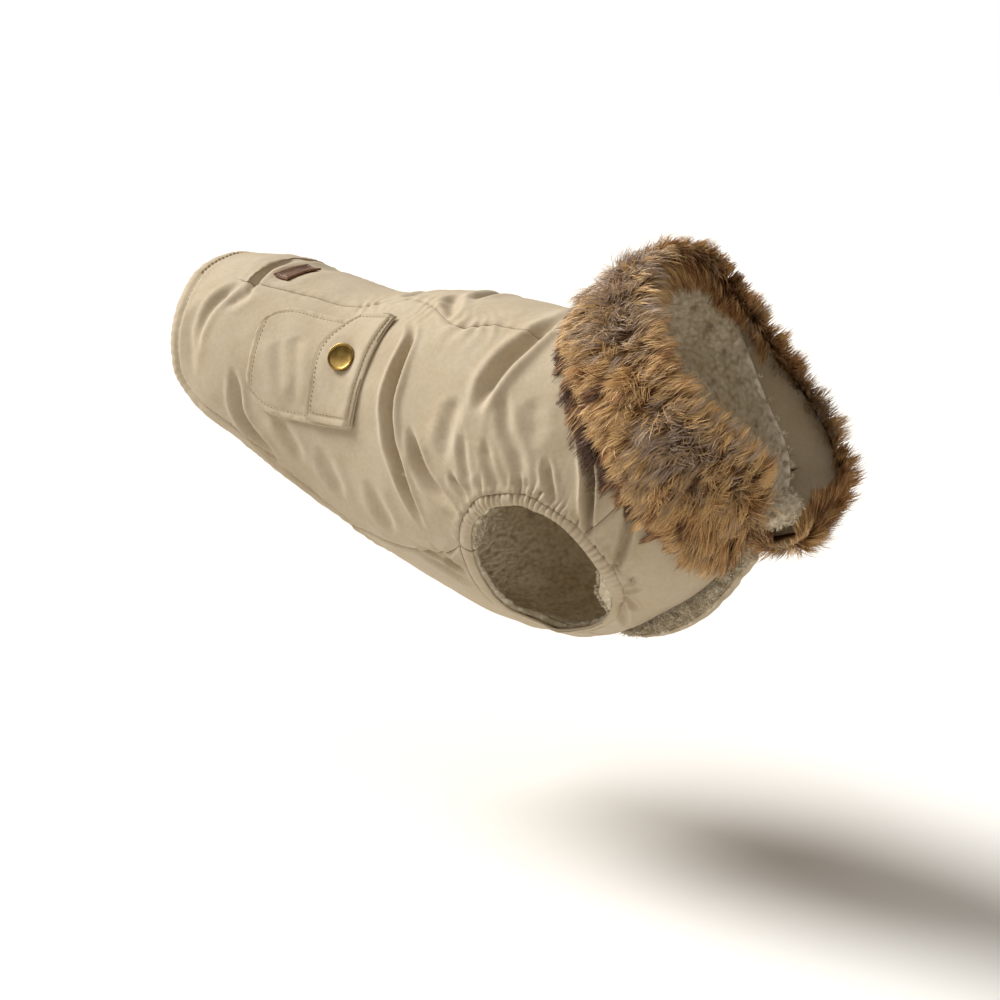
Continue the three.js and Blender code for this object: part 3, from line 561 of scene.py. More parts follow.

# %% [markdown]
# ### Curled sherpa
# Sherpa is knitted polyester, brushed and tumbled until its pile curls into small knots. To the eye it
# is dull all over, with soft pale lumps 2 to 3 mm apart and warm shade between them. A Voronoi pattern
# gives the knots, and its colour paints that shade between them; fine noise gives the fluff on them;
# the bigger lumps are in the mesh.

# %% Sherpa
def sherpa_material():
    material, tree, shader = new_material("curled sherpa pile", Roughness=1.0, Sheen_Weight=0.35,
                                          Sheen_Roughness=0.6, Specular_IOR_Level=0.1)
    place = in_object_space(tree)
    curls = add_node(tree, "TexVoronoi", {"Scale": 380, "Randomness": 1.0},
                     {"Vector": place}, feature="SMOOTH_F1").outputs[0]
    fuzz = noise_of(tree, place, 900, 4, 0.7)
    # painted shade: the colour darkens from the middle of each knot out to the sunk gaps between the knots
    tone = add_ramp(tree, curls, [(0.0, "#EDE4D3"), (0.45, "#DDD0B8"), (0.85, "#B3A486")])
    drift = add_ramp(tree, noise_of(tree, place, 60, 2), [(0.3, "#E7E2D6"), (0.7, "#FFFFFF")])
    tree.links.new(mix(tree, 1.0, tone, drift, "MULTIPLY"), shader.inputs["Base Color"])
    knots = add_node(tree, "Bump", {"Strength": 0.75, "Distance": 0.0016}, {"Height": curls}, invert=True)
    fluff = add_node(tree, "Bump", {"Strength": 0.6, "Distance": 0.0008},
                     {"Height": fuzz, "Normal": knots.outputs[0]})
    tree.links.new(fluff.outputs[0], shader.inputs["Normal"])
    return material


SHERPA_CLOTH = sherpa_material()

# %% [markdown]
# ### Thread and leather
# The seams are sewn in spun polyester thread, a shade darker than the cloth and slightly lustrous. The
# patch is embossed leather: pebbled grain, mottled brown on its face and paler where its edge is worn.

# %% Sewing thread
def thread_material():
    material, tree, shader = new_material("polyester sewing thread", Roughness=0.6, Sheen_Weight=0.1)
    strand = noise_of(tree, in_object_space(tree), 2500, 1)
    tree.links.new(add_ramp(tree, strand, [(0.3, "#B19C78"), (0.7, "#C8B591")]), shader.inputs["Base Color"])
    return material


THREAD = thread_material()

# %% Leather
def leather_material():
    material, tree, shader = new_material("embossed brown leather", Roughness=0.5, Coat_Weight=0.08,
                                          Coat_Roughness=0.4)
    place = in_object_space(tree)
    grain = add_node(tree, "TexVoronoi", {"Scale": 1500}, {"Vector": place}).outputs[0]
    worn = add_node(tree, "NewGeometry").outputs["Pointiness"]
    face = add_ramp(tree, noise_of(tree, place, 300, 3), [(0.35, "#5E4538"), (0.7, "#84644F")])
    edge = add_ramp(tree, worn, [(0.52, "#000000"), (0.58, "#FFFFFF")])
    tree.links.new(mix(tree, edge, face, "#B8744A"), shader.inputs["Base Color"])
    bump = add_node(tree, "Bump", {"Strength": 0.35, "Distance": 0.0003}, {"Height": grain})
    tree.links.new(bump.outputs[0], shader.inputs["Normal"])
    return material


LEATHER = leather_material()

# %% [markdown]
# ### Antique brass
# The snap's cap is stamped brass, dulled to an antique tone. It is a metal, so its colour is all in its
# reflection, and the tarnish makes it both darker and duller in soft patches.

# %% Brass
def brass_material():
    material, tree, shader = new_material("antique stamped brass", Metallic=1.0, Roughness=0.34)
    place = in_object_space(tree)
    tarnish = noise_of(tree, place, 220, 4, 0.6)
    tree.links.new(add_ramp(tree, tarnish, [(0.3, "#7A6232"), (0.55, "#9A7D45"), (0.8, "#AF9350")]),
                   shader.inputs["Base Color"])
    rough = add_node(tree, "MapRange", {"To Min": 0.26, "To Max": 0.46}, {"Value": tarnish})
    tree.links.new(rough.outputs[0], shader.inputs["Roughness"])
    scuff = add_node(tree, "Bump", {"Strength": 0.08, "Distance": 0.0002},
                     {"Height": noise_of(tree, place, 1800, 3)})
    tree.links.new(scuff.outputs[0], shader.inputs["Normal"])
    return material


BRASS = brass_material()

# %% [markdown]
# ### Faux fur
# The trim is long acrylic pile: grey-mauve where it parts, golden brown beside that and rust brown
# towards the shell, each hair darker at its tip, with painted shade darkening it towards its root, deep in
# the pile. Each hair carries its own tone in u and its length in v on its UV map, so one material colours
# all of them.

# %% Fur
def fur_material():
    material, tree, shader = new_material("long acrylic faux fur", Roughness=0.6, Sheen_Weight=0.08,
                                          Sheen_Roughness=0.4, Specular_IOR_Level=0.35)
    split = add_node(tree, "SeparateXYZ", links={0: add_node(tree, "UVMap", uv_map="OFBake").outputs[0]})
    tone = add_ramp(tree, split.outputs[0], [
        (0.0, "#C6B4A6"), (0.14, "#A08C7E"), (0.28, "#BBA07E"), (0.45, "#DFBC83"), (0.6, "#E3C08A"),
        (0.74, "#B68656"), (0.88, "#895E3D"), (1.0, "#5C4232")])
    # painted shade: each hair darkens towards its root, where the pile shades it; its tip is darker too
    length = add_ramp(tree, split.outputs[1], [
        (0.0, "#6A4E38"), (0.3, "#B9A48C"), (0.5, "#FFFFFF"), (0.8, "#FFFAF0"), (1.0, "#A88C70")])
    tree.links.new(mix(tree, 1.0, tone, length, "MULTIPLY"), shader.inputs["Base Color"])
    return material


FUR = fur_material()

# %% [markdown]
# ## Making meshes
# A sheet is a closed wall between an outer grid of points and a coarser inner one, with its edge rolled
# round, as a turned and pressed edge is. The outer grid is fine, because it carries the folds; nobody
# sees the inner face of the shell. Every sheet says the size that it was cut to before it was sewn.

# %% Mesh helpers
COARSE = 3                       # the hidden face has one grid step to this many of the shown face


def new_piece(name, points, faces, material, stands_for, uv=None, threads=None):
    """A smooth mesh from points in millimetres; uv and threads are per-point UV coordinates."""
    mesh = bpy.data.meshes.new(name)
    mesh.from_pydata((np.asarray(points) * MM).tolist(), [], [tuple(f) for f in faces])
    mesh.polygons.foreach_set("use_smooth", np.ones(len(mesh.polygons), bool))
    corners = np.zeros(len(mesh.loops), int)
    mesh.loops.foreach_get("vertex_index", corners)
    for layer, coordinates in (("OFBake", uv), ("Threads", threads)):
        if coordinates is not None:
            made = mesh.uv_layers.new(name=layer)
            made.data.foreach_set("uv", np.asarray(coordinates, np.float32)[corners].ravel())
    mesh.materials.append(material)
    piece = bpy.data.objects.new(name, mesh)
    bpy.context.scene.collection.objects.link(piece)
    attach(piece, "root")
    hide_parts(*stands_for)
    return piece


def grid_faces(rows, cols, start=0):
    i, j = np.meshgrid(np.arange(rows - 1), np.arange(cols - 1), indexing="ij")
    one = (start + i * cols + j).ravel()
    return np.column_stack([one, one + cols, one + cols + 1, one + 1])


def tube_faces(rows, cols):
    """Faces of a tube of rings, closed round each ring, with a flat cap on both ends."""
    faces = [(i * cols + j, i * cols + (j + 1) % cols, (i + 1) * cols + (j + 1) % cols, (i + 1) * cols + j)
             for i in range(rows - 1) for j in range(cols)]
    return [*faces, tuple(range(cols))[::-1], tuple((rows - 1) * cols + j for j in range(cols))]


RIBBON = 7                       # points of a tapered ribbon: three pairs and a tip


def ribbon_faces(count):
    """Faces of that many ribbons: two quads and a pointed end each."""
    start = np.arange(count)[:, None] * RIBBON
    quads = np.concatenate([start + (0, 1, 3, 2), start + (2, 3, 5, 4)])
    return [*quads.tolist(), *(start + (4, 5, 6)).tolist()]


def border_of(rows, cols):
    """Places round the border of a grid, in order."""
    down, right = [(i, 0) for i in range(rows - 1)], [(rows - 1, j) for j in range(cols - 1)]
    up, left = [(i, cols - 1) for i in range(rows - 1, 0, -1)], [(0, j) for j in range(cols - 1, 0, -1)]
    return np.array(down + right + up + left)


def volume_of(points, faces):
    """The volume inside quads, which is negative if they face inwards."""
    total = 0.0
    for corners in ((0, 1, 2), (0, 2, 3)):
        a, b, c = (points[faces[:, corner]] for corner in corners)
        total += np.einsum("ij,ij->i", a, np.cross(b, c)).sum()
    return total / 6


RIM_TURNS = (35, 75, 110, 150)   # degrees round the rolled edge


def wall(outer, inner, round_edge=0.9):
    """Points, faces and parameters of a closed wall with a rolled edge between two grids."""
    outer = outer.copy()
    rows, cols = outer.shape[:2]
    step = (rows - 1) // (inner.shape[0] - 1)
    ring = border_of(rows, cols)
    inwards = np.clip(ring, 1, (rows - 2, cols - 2))
    edge, next_in = outer[ring[:, 0], ring[:, 1]], outer[inwards[:, 0], inwards[:, 1]]
    inner_ring = border_of(*inner.shape[:2])
    far = inner[inner_ring[:, 0], inner_ring[:, 1]]
    share = np.arange(len(ring)) / step
    low = np.floor(share).astype(int)
    far_fine = lerp(far[low], far[(low + 1) % len(far)], (share - low)[:, None])
    thick = np.linalg.norm(edge - far_fine, axis=1, keepdims=True)
    down = unit(far_fine - edge)
    out = unit(edge - next_in)
    radius = np.minimum(thick / 2, round_edge)
    edge = edge - out * radius
    outer[ring[:, 0], ring[:, 1]] = edge
    far = far - out[::step] * radius[::step]
    inner = inner.copy()
    inner[inner_ring[:, 0], inner_ring[:, 1]] = far
    rings = []
    for turn in map(math.radians, RIM_TURNS):
        rings.append(edge + out * radius * math.sin(turn) + down * thick * (1 - math.cos(turn)) / 2)
    points = np.concatenate([outer.reshape(-1, 3), *rings, inner.reshape(-1, 3)])
    first = rows * cols
    count = len(ring)
    last = first + count * len(rings)
    faces = [grid_faces(rows, cols)]
    above = ring[:, 0] * cols + ring[:, 1]
    around = np.roll(np.arange(count), -1)
    for n in range(len(rings)):
        below = first + n * count + np.arange(count)
        faces.append(np.column_stack([above[around], above, below, below[around]]))
        above = below
    faces.append(grid_faces(*inner.shape[:2], last)[:, ::-1])
    faces = np.concatenate(faces)
    floor_ring = last + inner_ring[:, 0] * inner.shape[1] + inner_ring[:, 1]
    ngons = []
    for n in range(len(floor_ring)):
        span = [above[(n * step + k) % count] for k in range(step + 1)]
        ngons.append([*span[::-1], floor_ring[n], floor_ring[(n + 1) % len(floor_ring)]])
    if volume_of(points, faces) < 0:
        faces = faces[:, ::-1]
        ngons = [face[::-1] for face in ngons]
    return points, [*faces.tolist(), *ngons], ring, inner.shape[:2]


def bake_uv(shape, ring, inner_shape):
    """A UV map with the shown face on one half and the hidden one on the other."""
    def squares(rows, cols, left):
        u, v = np.meshgrid(np.linspace(0.01, 0.99, rows), np.linspace(0.01, 0.99, cols), indexing="ij")
        return np.stack([left + u * 0.48, v], -1).reshape(-1, 2)
    shown = squares(*shape, 0.0)
    rim = shown[ring[:, 0] * shape[1] + ring[:, 1]]
    return np.concatenate([shown, *[rim] * len(RIM_TURNS), squares(*inner_shape, 0.51)])


def spread_threads(grid, ring, inner_shape):
    """Millimetres along and across the cut, from the grid's own lengths, for each point of a wall."""
    along = np.cumsum(np.linalg.norm(np.diff(grid, axis=0, prepend=grid[:1]), axis=-1), axis=0)
    across = np.cumsum(np.linalg.norm(np.diff(grid, axis=1, prepend=grid[:, :1]), axis=-1), axis=1)
    cut = np.stack([along, across], -1)
    rim = cut[ring[:, 0], ring[:, 1]]
    rows = np.linspace(0, len(grid) - 1, inner_shape[0]).astype(int)
    cols = np.linspace(0, grid.shape[1] - 1, inner_shape[1]).astype(int)
    hidden = cut[np.ix_(rows, cols)].reshape(-1, 2)
    return np.concatenate([cut.reshape(-1, 2), *[rim] * len(RIM_TURNS), hidden])


def cut_of(grid, ease=1.0):
    """The width and length that a grid of cloth was cut to, and its flat area, in metres."""
    long = np.linalg.norm(np.diff(grid, axis=0), axis=-1).sum(0).max()
    wide = np.linalg.norm(np.diff(grid, axis=1), axis=-1).sum(1).max()
    a, b = grid[1:, :-1] - grid[:-1, :-1], grid[:-1, 1:] - grid[:-1, :-1]
    area = np.linalg.norm(np.cross(a, b), axis=-1).sum()
    return [round(v, 4) for v in (wide * MM, long * MM * ease)], round(float(area * MM * MM * ease), 6)


def sheet_piece(name, outer, inner, material, slot, held, rests_on=(), ease=1.0, round_edge=0.9):
    """A closed sheet of cloth between two grids of points; it prints the size of its cut."""
    points, faces, ring, inner_shape = wall(outer, inner, round_edge)
    shape = outer.shape[:2]
    piece = new_piece(name, points, faces, material, [name],
                      bake_uv(shape, ring, inner_shape), spread_threads(outer, ring, inner_shape))
    flat, area = cut_of(outer, ease)
    wide, long = (side / MM for side in flat)
    print(f"{name}: {len(points)} points, cut {wide:.0f} x {long:.0f} mm, {area * 1e4:.0f} cm2")
    return piece


# %% [markdown]
# ## How the cloth lies
# The height of the cloth above the bare form is a sum of small things: the creases, the valley and the
# puckers at each seam, the stitched ridge round the hem, gathers that run into the elastic armholes, and
# a broad unevenness, because nothing sewn from soft cloth is quite even.

# %% Relief of the shell
GATHERED_AT = 62                 # degrees round the armhole, from its front over the top


def gathered_share(turn):
    """How much the armhole is gathered at a turn: most along its top and front, least behind and below."""
    apart = (turn - GATHERED_AT + 180) % 360 - 180
    return 0.1 + 0.9 * np.clip(np.cos(np.radians(apart * 1.05)), 0, 1) ** 0.5


HEM_WIDTH = 8.5                  # the turned hem, up to its stitches
TUCK = 3.7                       # from one tuck to the next
TUCK_DEPTH = 2.1


def tuck_size(along, seed):
    """A random size for each tuck along the elastic, from 0 to 1."""
    sizes = np.random.default_rng(seed).uniform(0, 1, 512)
    return sizes[np.floor(along / TUCK).astype(int) % 512]


def tucks(along, base, off=0.0):
    """Narrow valleys where the elastic has drawn the cloth together; off is how far from the seam."""
    at = along / TUCK + 0.14 * noise(base, 5, 31) + off * 0.09 * noise(base, 17, 33)
    return bell(at - np.floor(at), 0.5, 0.2) * (0.3 + 0.7 * tuck_size(along, 4))


def waves(along, apart, drift=0.0):
    """A ripple along a line, its crests about so many millimetres apart, drifting out of step."""
    return np.sin(2 * np.pi * (along / apart + drift))


def unevenness(base):
    return 0.9 * noise(base, 36, 1) + 0.35 * noise(base, 14, 2)


def broad_relief(base):
    """What the shell and the pieces on it share: creases and the broad unevenness."""
    return unevenness(base) - crease_depth(base)


def shell_relief(base):
    lift = broad_relief(base)
    wobble = noise(base, 16, 3)
    seam, seam_along = SEAMS.near(base)
    hem, hem_along = HEMS.near(base)
    hole, hole_along = ARMHOLES.near(base)
    waist, waist_along = GATHERED_BACK.near(base)
    # a seam is a narrow valley with a soft roll beside it, and it puckers
    lift += -0.7 * bell(seam, 0, 1.1) + 0.35 * bell(seam, 3.4, 1.9)
    lift += 0.28 * bell(seam, 0, 7) * waves(seam_along, 8, 1.3 * wobble) * (0.5 + 0.5 * noise(base, 22, 5))
    # the turned hem stands up between its edge and its sunk stitches
    lift += -1.0 * bell(hem, HEM_WIDTH, 1.0) + 1.0 * bell(hem, 0.48 * HEM_WIDTH, 2.9)
    lift += 0.4 * bell(hem, HEM_WIDTH + 3, 1.9)
    lift += 0.22 * bell(hem, 0, 9) * waves(hem_along, 7, 1.5 * wobble)
    # tucks and gathers run out from the elastic
    turn = 360 * hole_along / ARMHOLES.rows[:, 3].max()
    share = gathered_share(turn)
    reach = 3 + 6 * tuck_size(hole_along, 5)
    lift -= TUCK_DEPTH * share * tucks(hole_along, base, hole) * bell(hole, 0, reach)
    lift += 0.9 * share * bell(hole, 1.6, 2.2)
    lift += 0.7 * share * np.exp(-hole / 9) * waves(hole_along, 9.5, 0.9 * noise(base, 12, 6))
    # the back seams are drawn up at the waist
    lift += 0.6 * np.exp(-waist / 8) * waves(waist_along, 11, 1.4 * wobble)
    return lift + 0.1 * noise(base, 5, 7)


print(f"hem {HEM_WIDTH} mm deep, tucks {TUCK} mm apart")


# %% [markdown]
# ## The shell
# Seven panels of twill, each a wall 1.6 mm thick: the turned seam edges and the face cloth together.

# %% Shell panels
def clothed(places, lap_lift=0.0):
    """The shown and the hidden face of twill at places; a lapped end may lie higher."""
    base, normal = form_point(places), form_normal(places)
    relief = shell_relief(base)
    relief = relief + lap_lift * np.clip((places[..., 0] - YOKE_LIFT_FROM) / YOKE_LIFT_OVER, 0, 1)
    return raise_off(base, normal, relief), raise_off(base, normal, relief - TWILL)[::COARSE, ::COARSE]


LIP = 12                         # the left front hangs past the closing by this much
LIP_ENDS = (0.45, 0.08)          # at the throat and behind, as a share of the full depth
LIP_FACE = 3.4                   # its twill face, left of the middle plane
LIP_STEPS = 12
LIP_AWAY = np.linspace(0.1, 1, LIP_STEPS)     # shares of the lip's depth


def belly_line(station):
    return form_point(np.stack([np.clip(station, 0, LAST), np.full(len(station), 180.0)], -1))


def hang(grid, places, face, bound=0):
    """Adds the lip to the last column of the left front: a strip square to the belly line."""
    station = places[:, -1, 0]
    line = unit(belly_line(station + 0.1) - belly_line(station - 0.1))
    down = np.stack([line[:, 2], 0 * station, -line[:, 0]], -1)
    share = np.linspace(0, 1, len(grid))
    depth = LIP * lerp(lerp(*LIP_ENDS, share), 1, np.sin(np.pi * share) ** 0.8)
    wave = 0.9 * np.sin(2 * np.pi * 5.3 * share) + 0.6 * np.sin(2 * np.pi * 11.1 * share + 1)
    from_edge = (1 - LIP_AWAY) * LIP
    bind = -0.5 * np.exp(-(from_edge - 3.6) ** 2 / 0.5) + 0.35 * np.exp(-(from_edge - 1.8) ** 2 / 2)
    strip = belly_line(station)[:, None] + down[:, None] * (depth[:, None] * LIP_AWAY)[..., None]
    strip[..., 1] = face + bound * bind + wave[:, None] * LIP_AWAY
    return np.concatenate([grid, strip], axis=1)


def hang_coarse(grid, places, face):
    """The lip on a hidden face, with as many columns as the coarse grid needs."""
    cols = places.shape[1]
    kept = [*range(cols // COARSE + 1), *range(-LIP_STEPS + COARSE - 1, 0, COARSE)]
    return hang(grid, places[::COARSE, ::COARSE], face)[:, kept]


for panel_name, grid_of in PANELS.items():
    places = grid_of()
    outer, inner = clothed(places, YOKE_LIFT if panel_name == "tail_yoke" else 0.0)
    if panel_name == "chest_panel_left":
        outer = hang(outer, places, LIP_FACE, bound=1)
        inner = hang_coarse(inner, places, LIP_FACE - TWILL)
    sheet_piece(panel_name, outer, inner, TWILL_CLOTH, "twill", "stretched",
                rests_on=["lining_" + panel_name], round_edge=0.4)

# %% [markdown]
# ## The sherpa lining
# The lining is cut from the same pattern pieces. Its curled pile faces the dog, so the fine side of each
# wall is the inner one, with soft knots 4 to 5 mm across.

# %% Lining panels
LINING_FINE = 6                  # its grid is coarser: it bridges the creases
PILE_FOOT = LINING_FACE - 0.4    # what the knots stand on
BACK_CLEAR = 0.6                 # between the lining's back and the shell


def lumps(points, seed=20, size=4.6):
    """The knots of the pile: rounded lumps with narrow shade between them."""
    first, second = noise(points, size, seed), noise(points, size * 0.6, seed + 1)
    return 1.6 * np.abs(first) + 0.7 * np.abs(second)


def lining_relief(base):
    """The thick lining bridges the shell's creases, so its own are wider; it keeps under the shell."""
    return unevenness(base) - 0.4 - 1.1 * np.maximum(crease_depth(base, 1.5, 0), 0)


for panel_name, grid_of in PANELS.items():
    places = grid_of(LINING_FINE)
    base, normal = form_point(places), form_normal(places)
    relief = lining_relief(base)
    pile = raise_off(base, normal, relief + PILE_FOOT + lumps(base))
    back = raise_off(base, normal, relief + LINING_TOP - BACK_CLEAR)[::COARSE, ::COARSE]
    if panel_name == "chest_panel_left":
        fuzz = lumps(hang(base, places, 0)[:, -LIP_STEPS:])
        pile = hang(pile, places, LIP_FACE + PILE_FOOT)
        lip_pile = pile[:, -LIP_STEPS:-2]
        tucked_in = 2.6 * np.clip(1 - LIP_AWAY / 0.35, 0, 1) + 1.4 * LIP_AWAY - 1.8
        pile[:, -LIP_STEPS:, 1] += 1.5 * fuzz + tucked_in
        back = hang_coarse(back, places, LIP_FACE + LINING_TOP)
    sheet_piece("lining_" + panel_name, pile, back, SHERPA_CLOTH, "sherpa", "stretched",
                rests_on=[panel_name])

# %% [markdown]
# ## Gathered armholes
# Each armhole is finished with a folded band of twill round an elastic. Sewn on stretched, it draws the
# cloth into small tucks square to its seam once it is let go. The band is a closed ring, joined at the
# belly seam, and behind it a strip of sherpa shows as a pale edge.

# %% Armhole bands and facings
ROUND_STEPS = 432
ACROSS_STEPS = 9
ROUND_TURNS = np.linspace(AT_BELLY_SEAM + 0.3, AT_BELLY_SEAM + 359.7, ROUND_STEPS + 1)
UNDER_PANELS = -0.05             # how far the ring reaches under the panels, as a share of its width
BAND_PUFF = 1.2
BAND_EASE = 1.25                 # the band is cut this much longer than its stretched-out ring


def ring_places(side, reach):
    """Places of a ring round an armhole, and the share of the way across it."""
    across = np.linspace(UNDER_PANELS, 1, ACROSS_STEPS + 1)[None, :, None]
    places = lerp(armhole_place(ROUND_TURNS)[:, None], armhole_place(ROUND_TURNS, reach)[:, None], across)
    return places * (FLIP if side == "left" else 1), across[..., 0]


def make_band(side):
    """The folded casing of the elastic: a soft roll, pinched by the tucks most where it is sewn on."""
    places, across = ring_places(side, (0, 0))
    base, normal = form_point(places), form_normal(places)
    around = ARMHOLES.near(base)[1]
    share = gathered_share(ROUND_TURNS[:, None])
    puff = BAND_PUFF * np.sin(np.pi * np.clip(across, 0.05, 0.93)) ** 0.6 - 0.5
    relief = broad_relief(base) + puff
    relief -= (TUCK_DEPTH * share * (1.1 - 0.8 * across) + 0.1) * tucks(around, base)
    relief -= 0.9 * np.clip(0.06 - across, 0, 0.1) / 0.1
    relief += 0.25 * noise(base, 6, 32)
    outer = raise_off(base, normal, relief)
    inner = raise_off(base, normal, broad_relief(base) - TWILL)[::COARSE, ::COARSE]
    sheet_piece(f"armhole_band_{side}", outer, inner, TWILL_CLOTH, "twill", "gathered",
                rests_on=[f"armhole_facing_{side}"], ease=BAND_EASE, round_edge=0.6)


def facing_shows(turn):
    """How far the facing peeps out: behind the leg, below it and most of all in front of it."""
    behind, below, ahead = (bell((turn - at + 180) % 360 - 180, 0, wide)
                            for at, wide in ((138, 30), (200, 30), (330, 24)))
    return 2.0 * behind + 1.0 * below + 3.4 * ahead - 1.0


SHOWN = facing_shows(ROUND_TURNS) > 0.25
loose_edges = {}


def make_facing(side):
    """The strip of sherpa behind the band; its free edge is kept for the loose curls."""
    places, across = ring_places(side, np.array(FACING_REACH)[:, None] * facing_shows(ROUND_TURNS))
    base, normal = form_point(places), form_normal(places)
    relief = broad_relief(base)
    pile = raise_off(base, normal, relief + PILE_FOOT + lumps(base, size=3.6))
    back = raise_off(base, normal, relief + LINING_TOP + 0.6 * across + 0.5 * lumps(base, 24, 3))
    sheet_piece(f"armhole_facing_{side}", pile, back[::COARSE, ::COARSE], SHERPA_CLOTH, "sherpa", "gathered",
                rests_on=[f"armhole_band_{side}"])
    edge = ((pile + back) / 2)[SHOWN, -2:]
    outward = np.broadcast_to(unit(edge[:, 1:] - pile[SHOWN, -5:-4]), edge.shape)
    loose_edges[side] = edge.reshape(-1, 3), outward.reshape(-1, 3)


for side in ("right", "left"):
    make_band(side)
    make_facing(side)

# %% [markdown]
# ## Pocket and flap
# A patch pocket with two round corners is turned under and topstitched on the right side. Its flap is a
# separate bagged piece, sewn down along its front edge and snapped at the middle of the free one.

# %% Pocket
POCKET_CORNERS = np.array([[1.82, 36.5], [3.74, 31], [3.48, 81], [1.76, 91.5]], float)   # places
POCKET_LONG = 80                 # millimetres, tail end to opening
POCKET_ROUND = 0.28              # as a share of that
ROUND_SHARE = (1.3, 0.75)        # the corner nearer the spine is the rounder one
POCKET_LIFT = 0.1
POCKET_THICK = 1.4
FLAP_EDGE = ((0, 3.3), (0.2, 3.02), (0.42, 2.86), (0.7, 2.84), (1, 2.82))   # down, free station
HINGE_TOP, HINGE_LOW = np.array([3.78, 30.0]), np.array([3.54, 80.0])
FLAP_DROP = 3.5                  # degrees that its free edge runs down from square
FLAP_THICK = 1.4
FLAP_LONG = 34                   # millimetres, hinge to free edge
FLAP_LIFT = POCKET_LIFT + POCKET_THICK + 0.9
HINGE_LIFT = 1.7
RAMP = 5                         # millimetres over which an edge rises
SNAP_AT = (3.25, 54.0)
SNAP_ON_FLAP = (np.array([0.45]), np.array([0.5]))    # shares back from the hinge and down
SNAP_LEAN = 0.32                 # it tips towards the head with the soft flap


def in_pocket(across, down):
    rear_top, front_top, front_low, rear_low = POCKET_CORNERS
    top = lerp(rear_top, front_top, across[..., None])
    low = lerp(rear_low, front_low, across[..., None])
    return lerp(top, low, down[..., None])


def pocket_places(across, down):
    short = np.clip(POCKET_ROUND - across, 0, None) / POCKET_ROUND
    inset = POCKET_ROUND * (1 - np.sqrt(1 - short ** 2))
    return in_pocket(across, lerp(ROUND_SHARE[0] * inset, 1 - ROUND_SHARE[1] * inset, down))


def flap_places(back, down):
    """back is 0 at the hinge and 1 at the free edge."""
    edge = smooth(np.array(FLAP_EDGE), down * (len(FLAP_EDGE) - 1))
    hinge = lerp(HINGE_TOP, HINGE_LOW, edge[..., :1])
    free = np.stack([edge[..., 1], hinge[..., 1] + FLAP_DROP * edge[..., 0]], -1)
    return lerp(hinge, free, back[..., None])


def ridge(away, stitched):
    """A turned edge: a soft ridge outside a sunk line of stitches."""
    return -0.4 * bell(away, stitched, 0.6) + 0.25 * bell(away, stitched * 0.45, 1.2)


def from_edges(places_of, across, down, sides=(1, 1, 1, 1)):
    """Millimetres to the nearest of a piece's four edges; a side of 0 is left out."""
    middle = form_point(places_of(np.array([0.5, 0.5]), np.array([0.0, 1.0])))
    long = form_point(places_of(np.array([0.0, 1.0]), np.array([0.5, 0.5])))
    high, wide = (np.linalg.norm(p[1] - p[0]) for p in (middle, long))
    far = 1e3
    all_four = (across * wide, (1 - across) * wide, down * high, (1 - down) * high)
    return np.min([edge if on else edge + far for edge, on in zip(all_four, sides)], axis=0)


def pocket_relief(across, down):
    places = pocket_places(across, down)
    base = form_point(places)
    relief = broad_relief(base) + POCKET_LIFT + POCKET_THICK
    away = from_edges(pocket_places, across, down, (1, 0, 1, 1))
    relief = relief + ridge(away, 3.4) + 0.35 * noise(base, 11, 41)
    pucker = np.sin(2 * np.pi * (base @ (0.14, 0, 0.12) + noise(base, 9, 42)))
    relief += 0.14 * bell(away, 0, 5) * pucker
    opening = 1 - np.clip((1 - across) * POCKET_LONG / RAMP, 0, 1)
    return relief - 0.7 * opening


def flap_relief(back, down):
    base = form_point(flap_places(back, down))
    rise = np.clip(back * FLAP_LONG / RAMP, 0, 1)
    relief = broad_relief(base) + lerp(HINGE_LIFT, FLAP_LIFT + FLAP_THICK, rise * rise * (3 - 2 * rise))
    away = from_edges(flap_places, back, down)
    relief = relief + ridge(away, 3.2) + 0.4 * noise(base, 12, 43) + 0.12 * noise(base, 4, 44)
    centre = form_point(np.array([SNAP_AT]))[0]
    snapped = np.linalg.norm(base - centre, axis=-1)
    relief -= 0.5 * bell(snapped, 9, 4)
    relief -= SNAP_LEAN * (base[..., 0] - centre[0]) * bell(snapped, 0, 12)
    curl = np.clip(down - 0.75, 0, 1) * np.clip(back - 0.3, 0, 1)
    return relief + 2.2 * curl


def patch_piece(name, places_of, relief_of, thick, counts, finish, rests_on):
    """A piece sewn flat on the coat, on a grid of so many steps."""
    across, down = np.meshgrid(*(np.linspace(0, 1, n + 1) for n in counts), indexing="ij")
    places = places_of(across, down)
    base, normal = form_point(places), form_normal(places)
    relief = relief_of(across, down)
    inner = raise_off(base, normal, relief - thick)[::COARSE, ::COARSE]
    sheet_piece(name, raise_off(base, normal, relief), inner, *finish, "laid", rests_on=rests_on)


patch_piece("pocket_right", pocket_places, pocket_relief, POCKET_THICK, (96, 72), (TWILL_CLOTH, "twill"),
            ["side_panel_right"])
patch_piece("pocket_flap_right", flap_places, flap_relief, FLAP_THICK, (60, 84), (TWILL_CLOTH, "twill"),
            ["pocket_right"])

# %% [markdown]
# ## Snap and patch
# The snap's cap is stamped from sheet brass: a rolled rim, a shallow groove and a low dome. It is round,
# so one profile, turned about its middle, makes it. The leather patch is blank, with a stitched border.

# %% Snap cap
SNAP_PROFILE = (                 # radius and height in millimetres, from the skirt to the middle
    (7.5, -0.6), (8.1, 0.0), (8.3, 0.6), (8.3, 1.3), (8.2, 1.9), (7.95, 2.4), (7.6, 2.6), (7.3, 2.5),
    (7.05, 2.2), (6.8, 1.95), (6.3, 1.8), (5.1, 1.6), (3.8, 1.45), (2.5, 1.37), (1.2, 1.33), (0.3, 1.32),
)
SNAP_RINGS, SNAP_SIDES = 46, 72
SNAP_CLEAR = 0.2


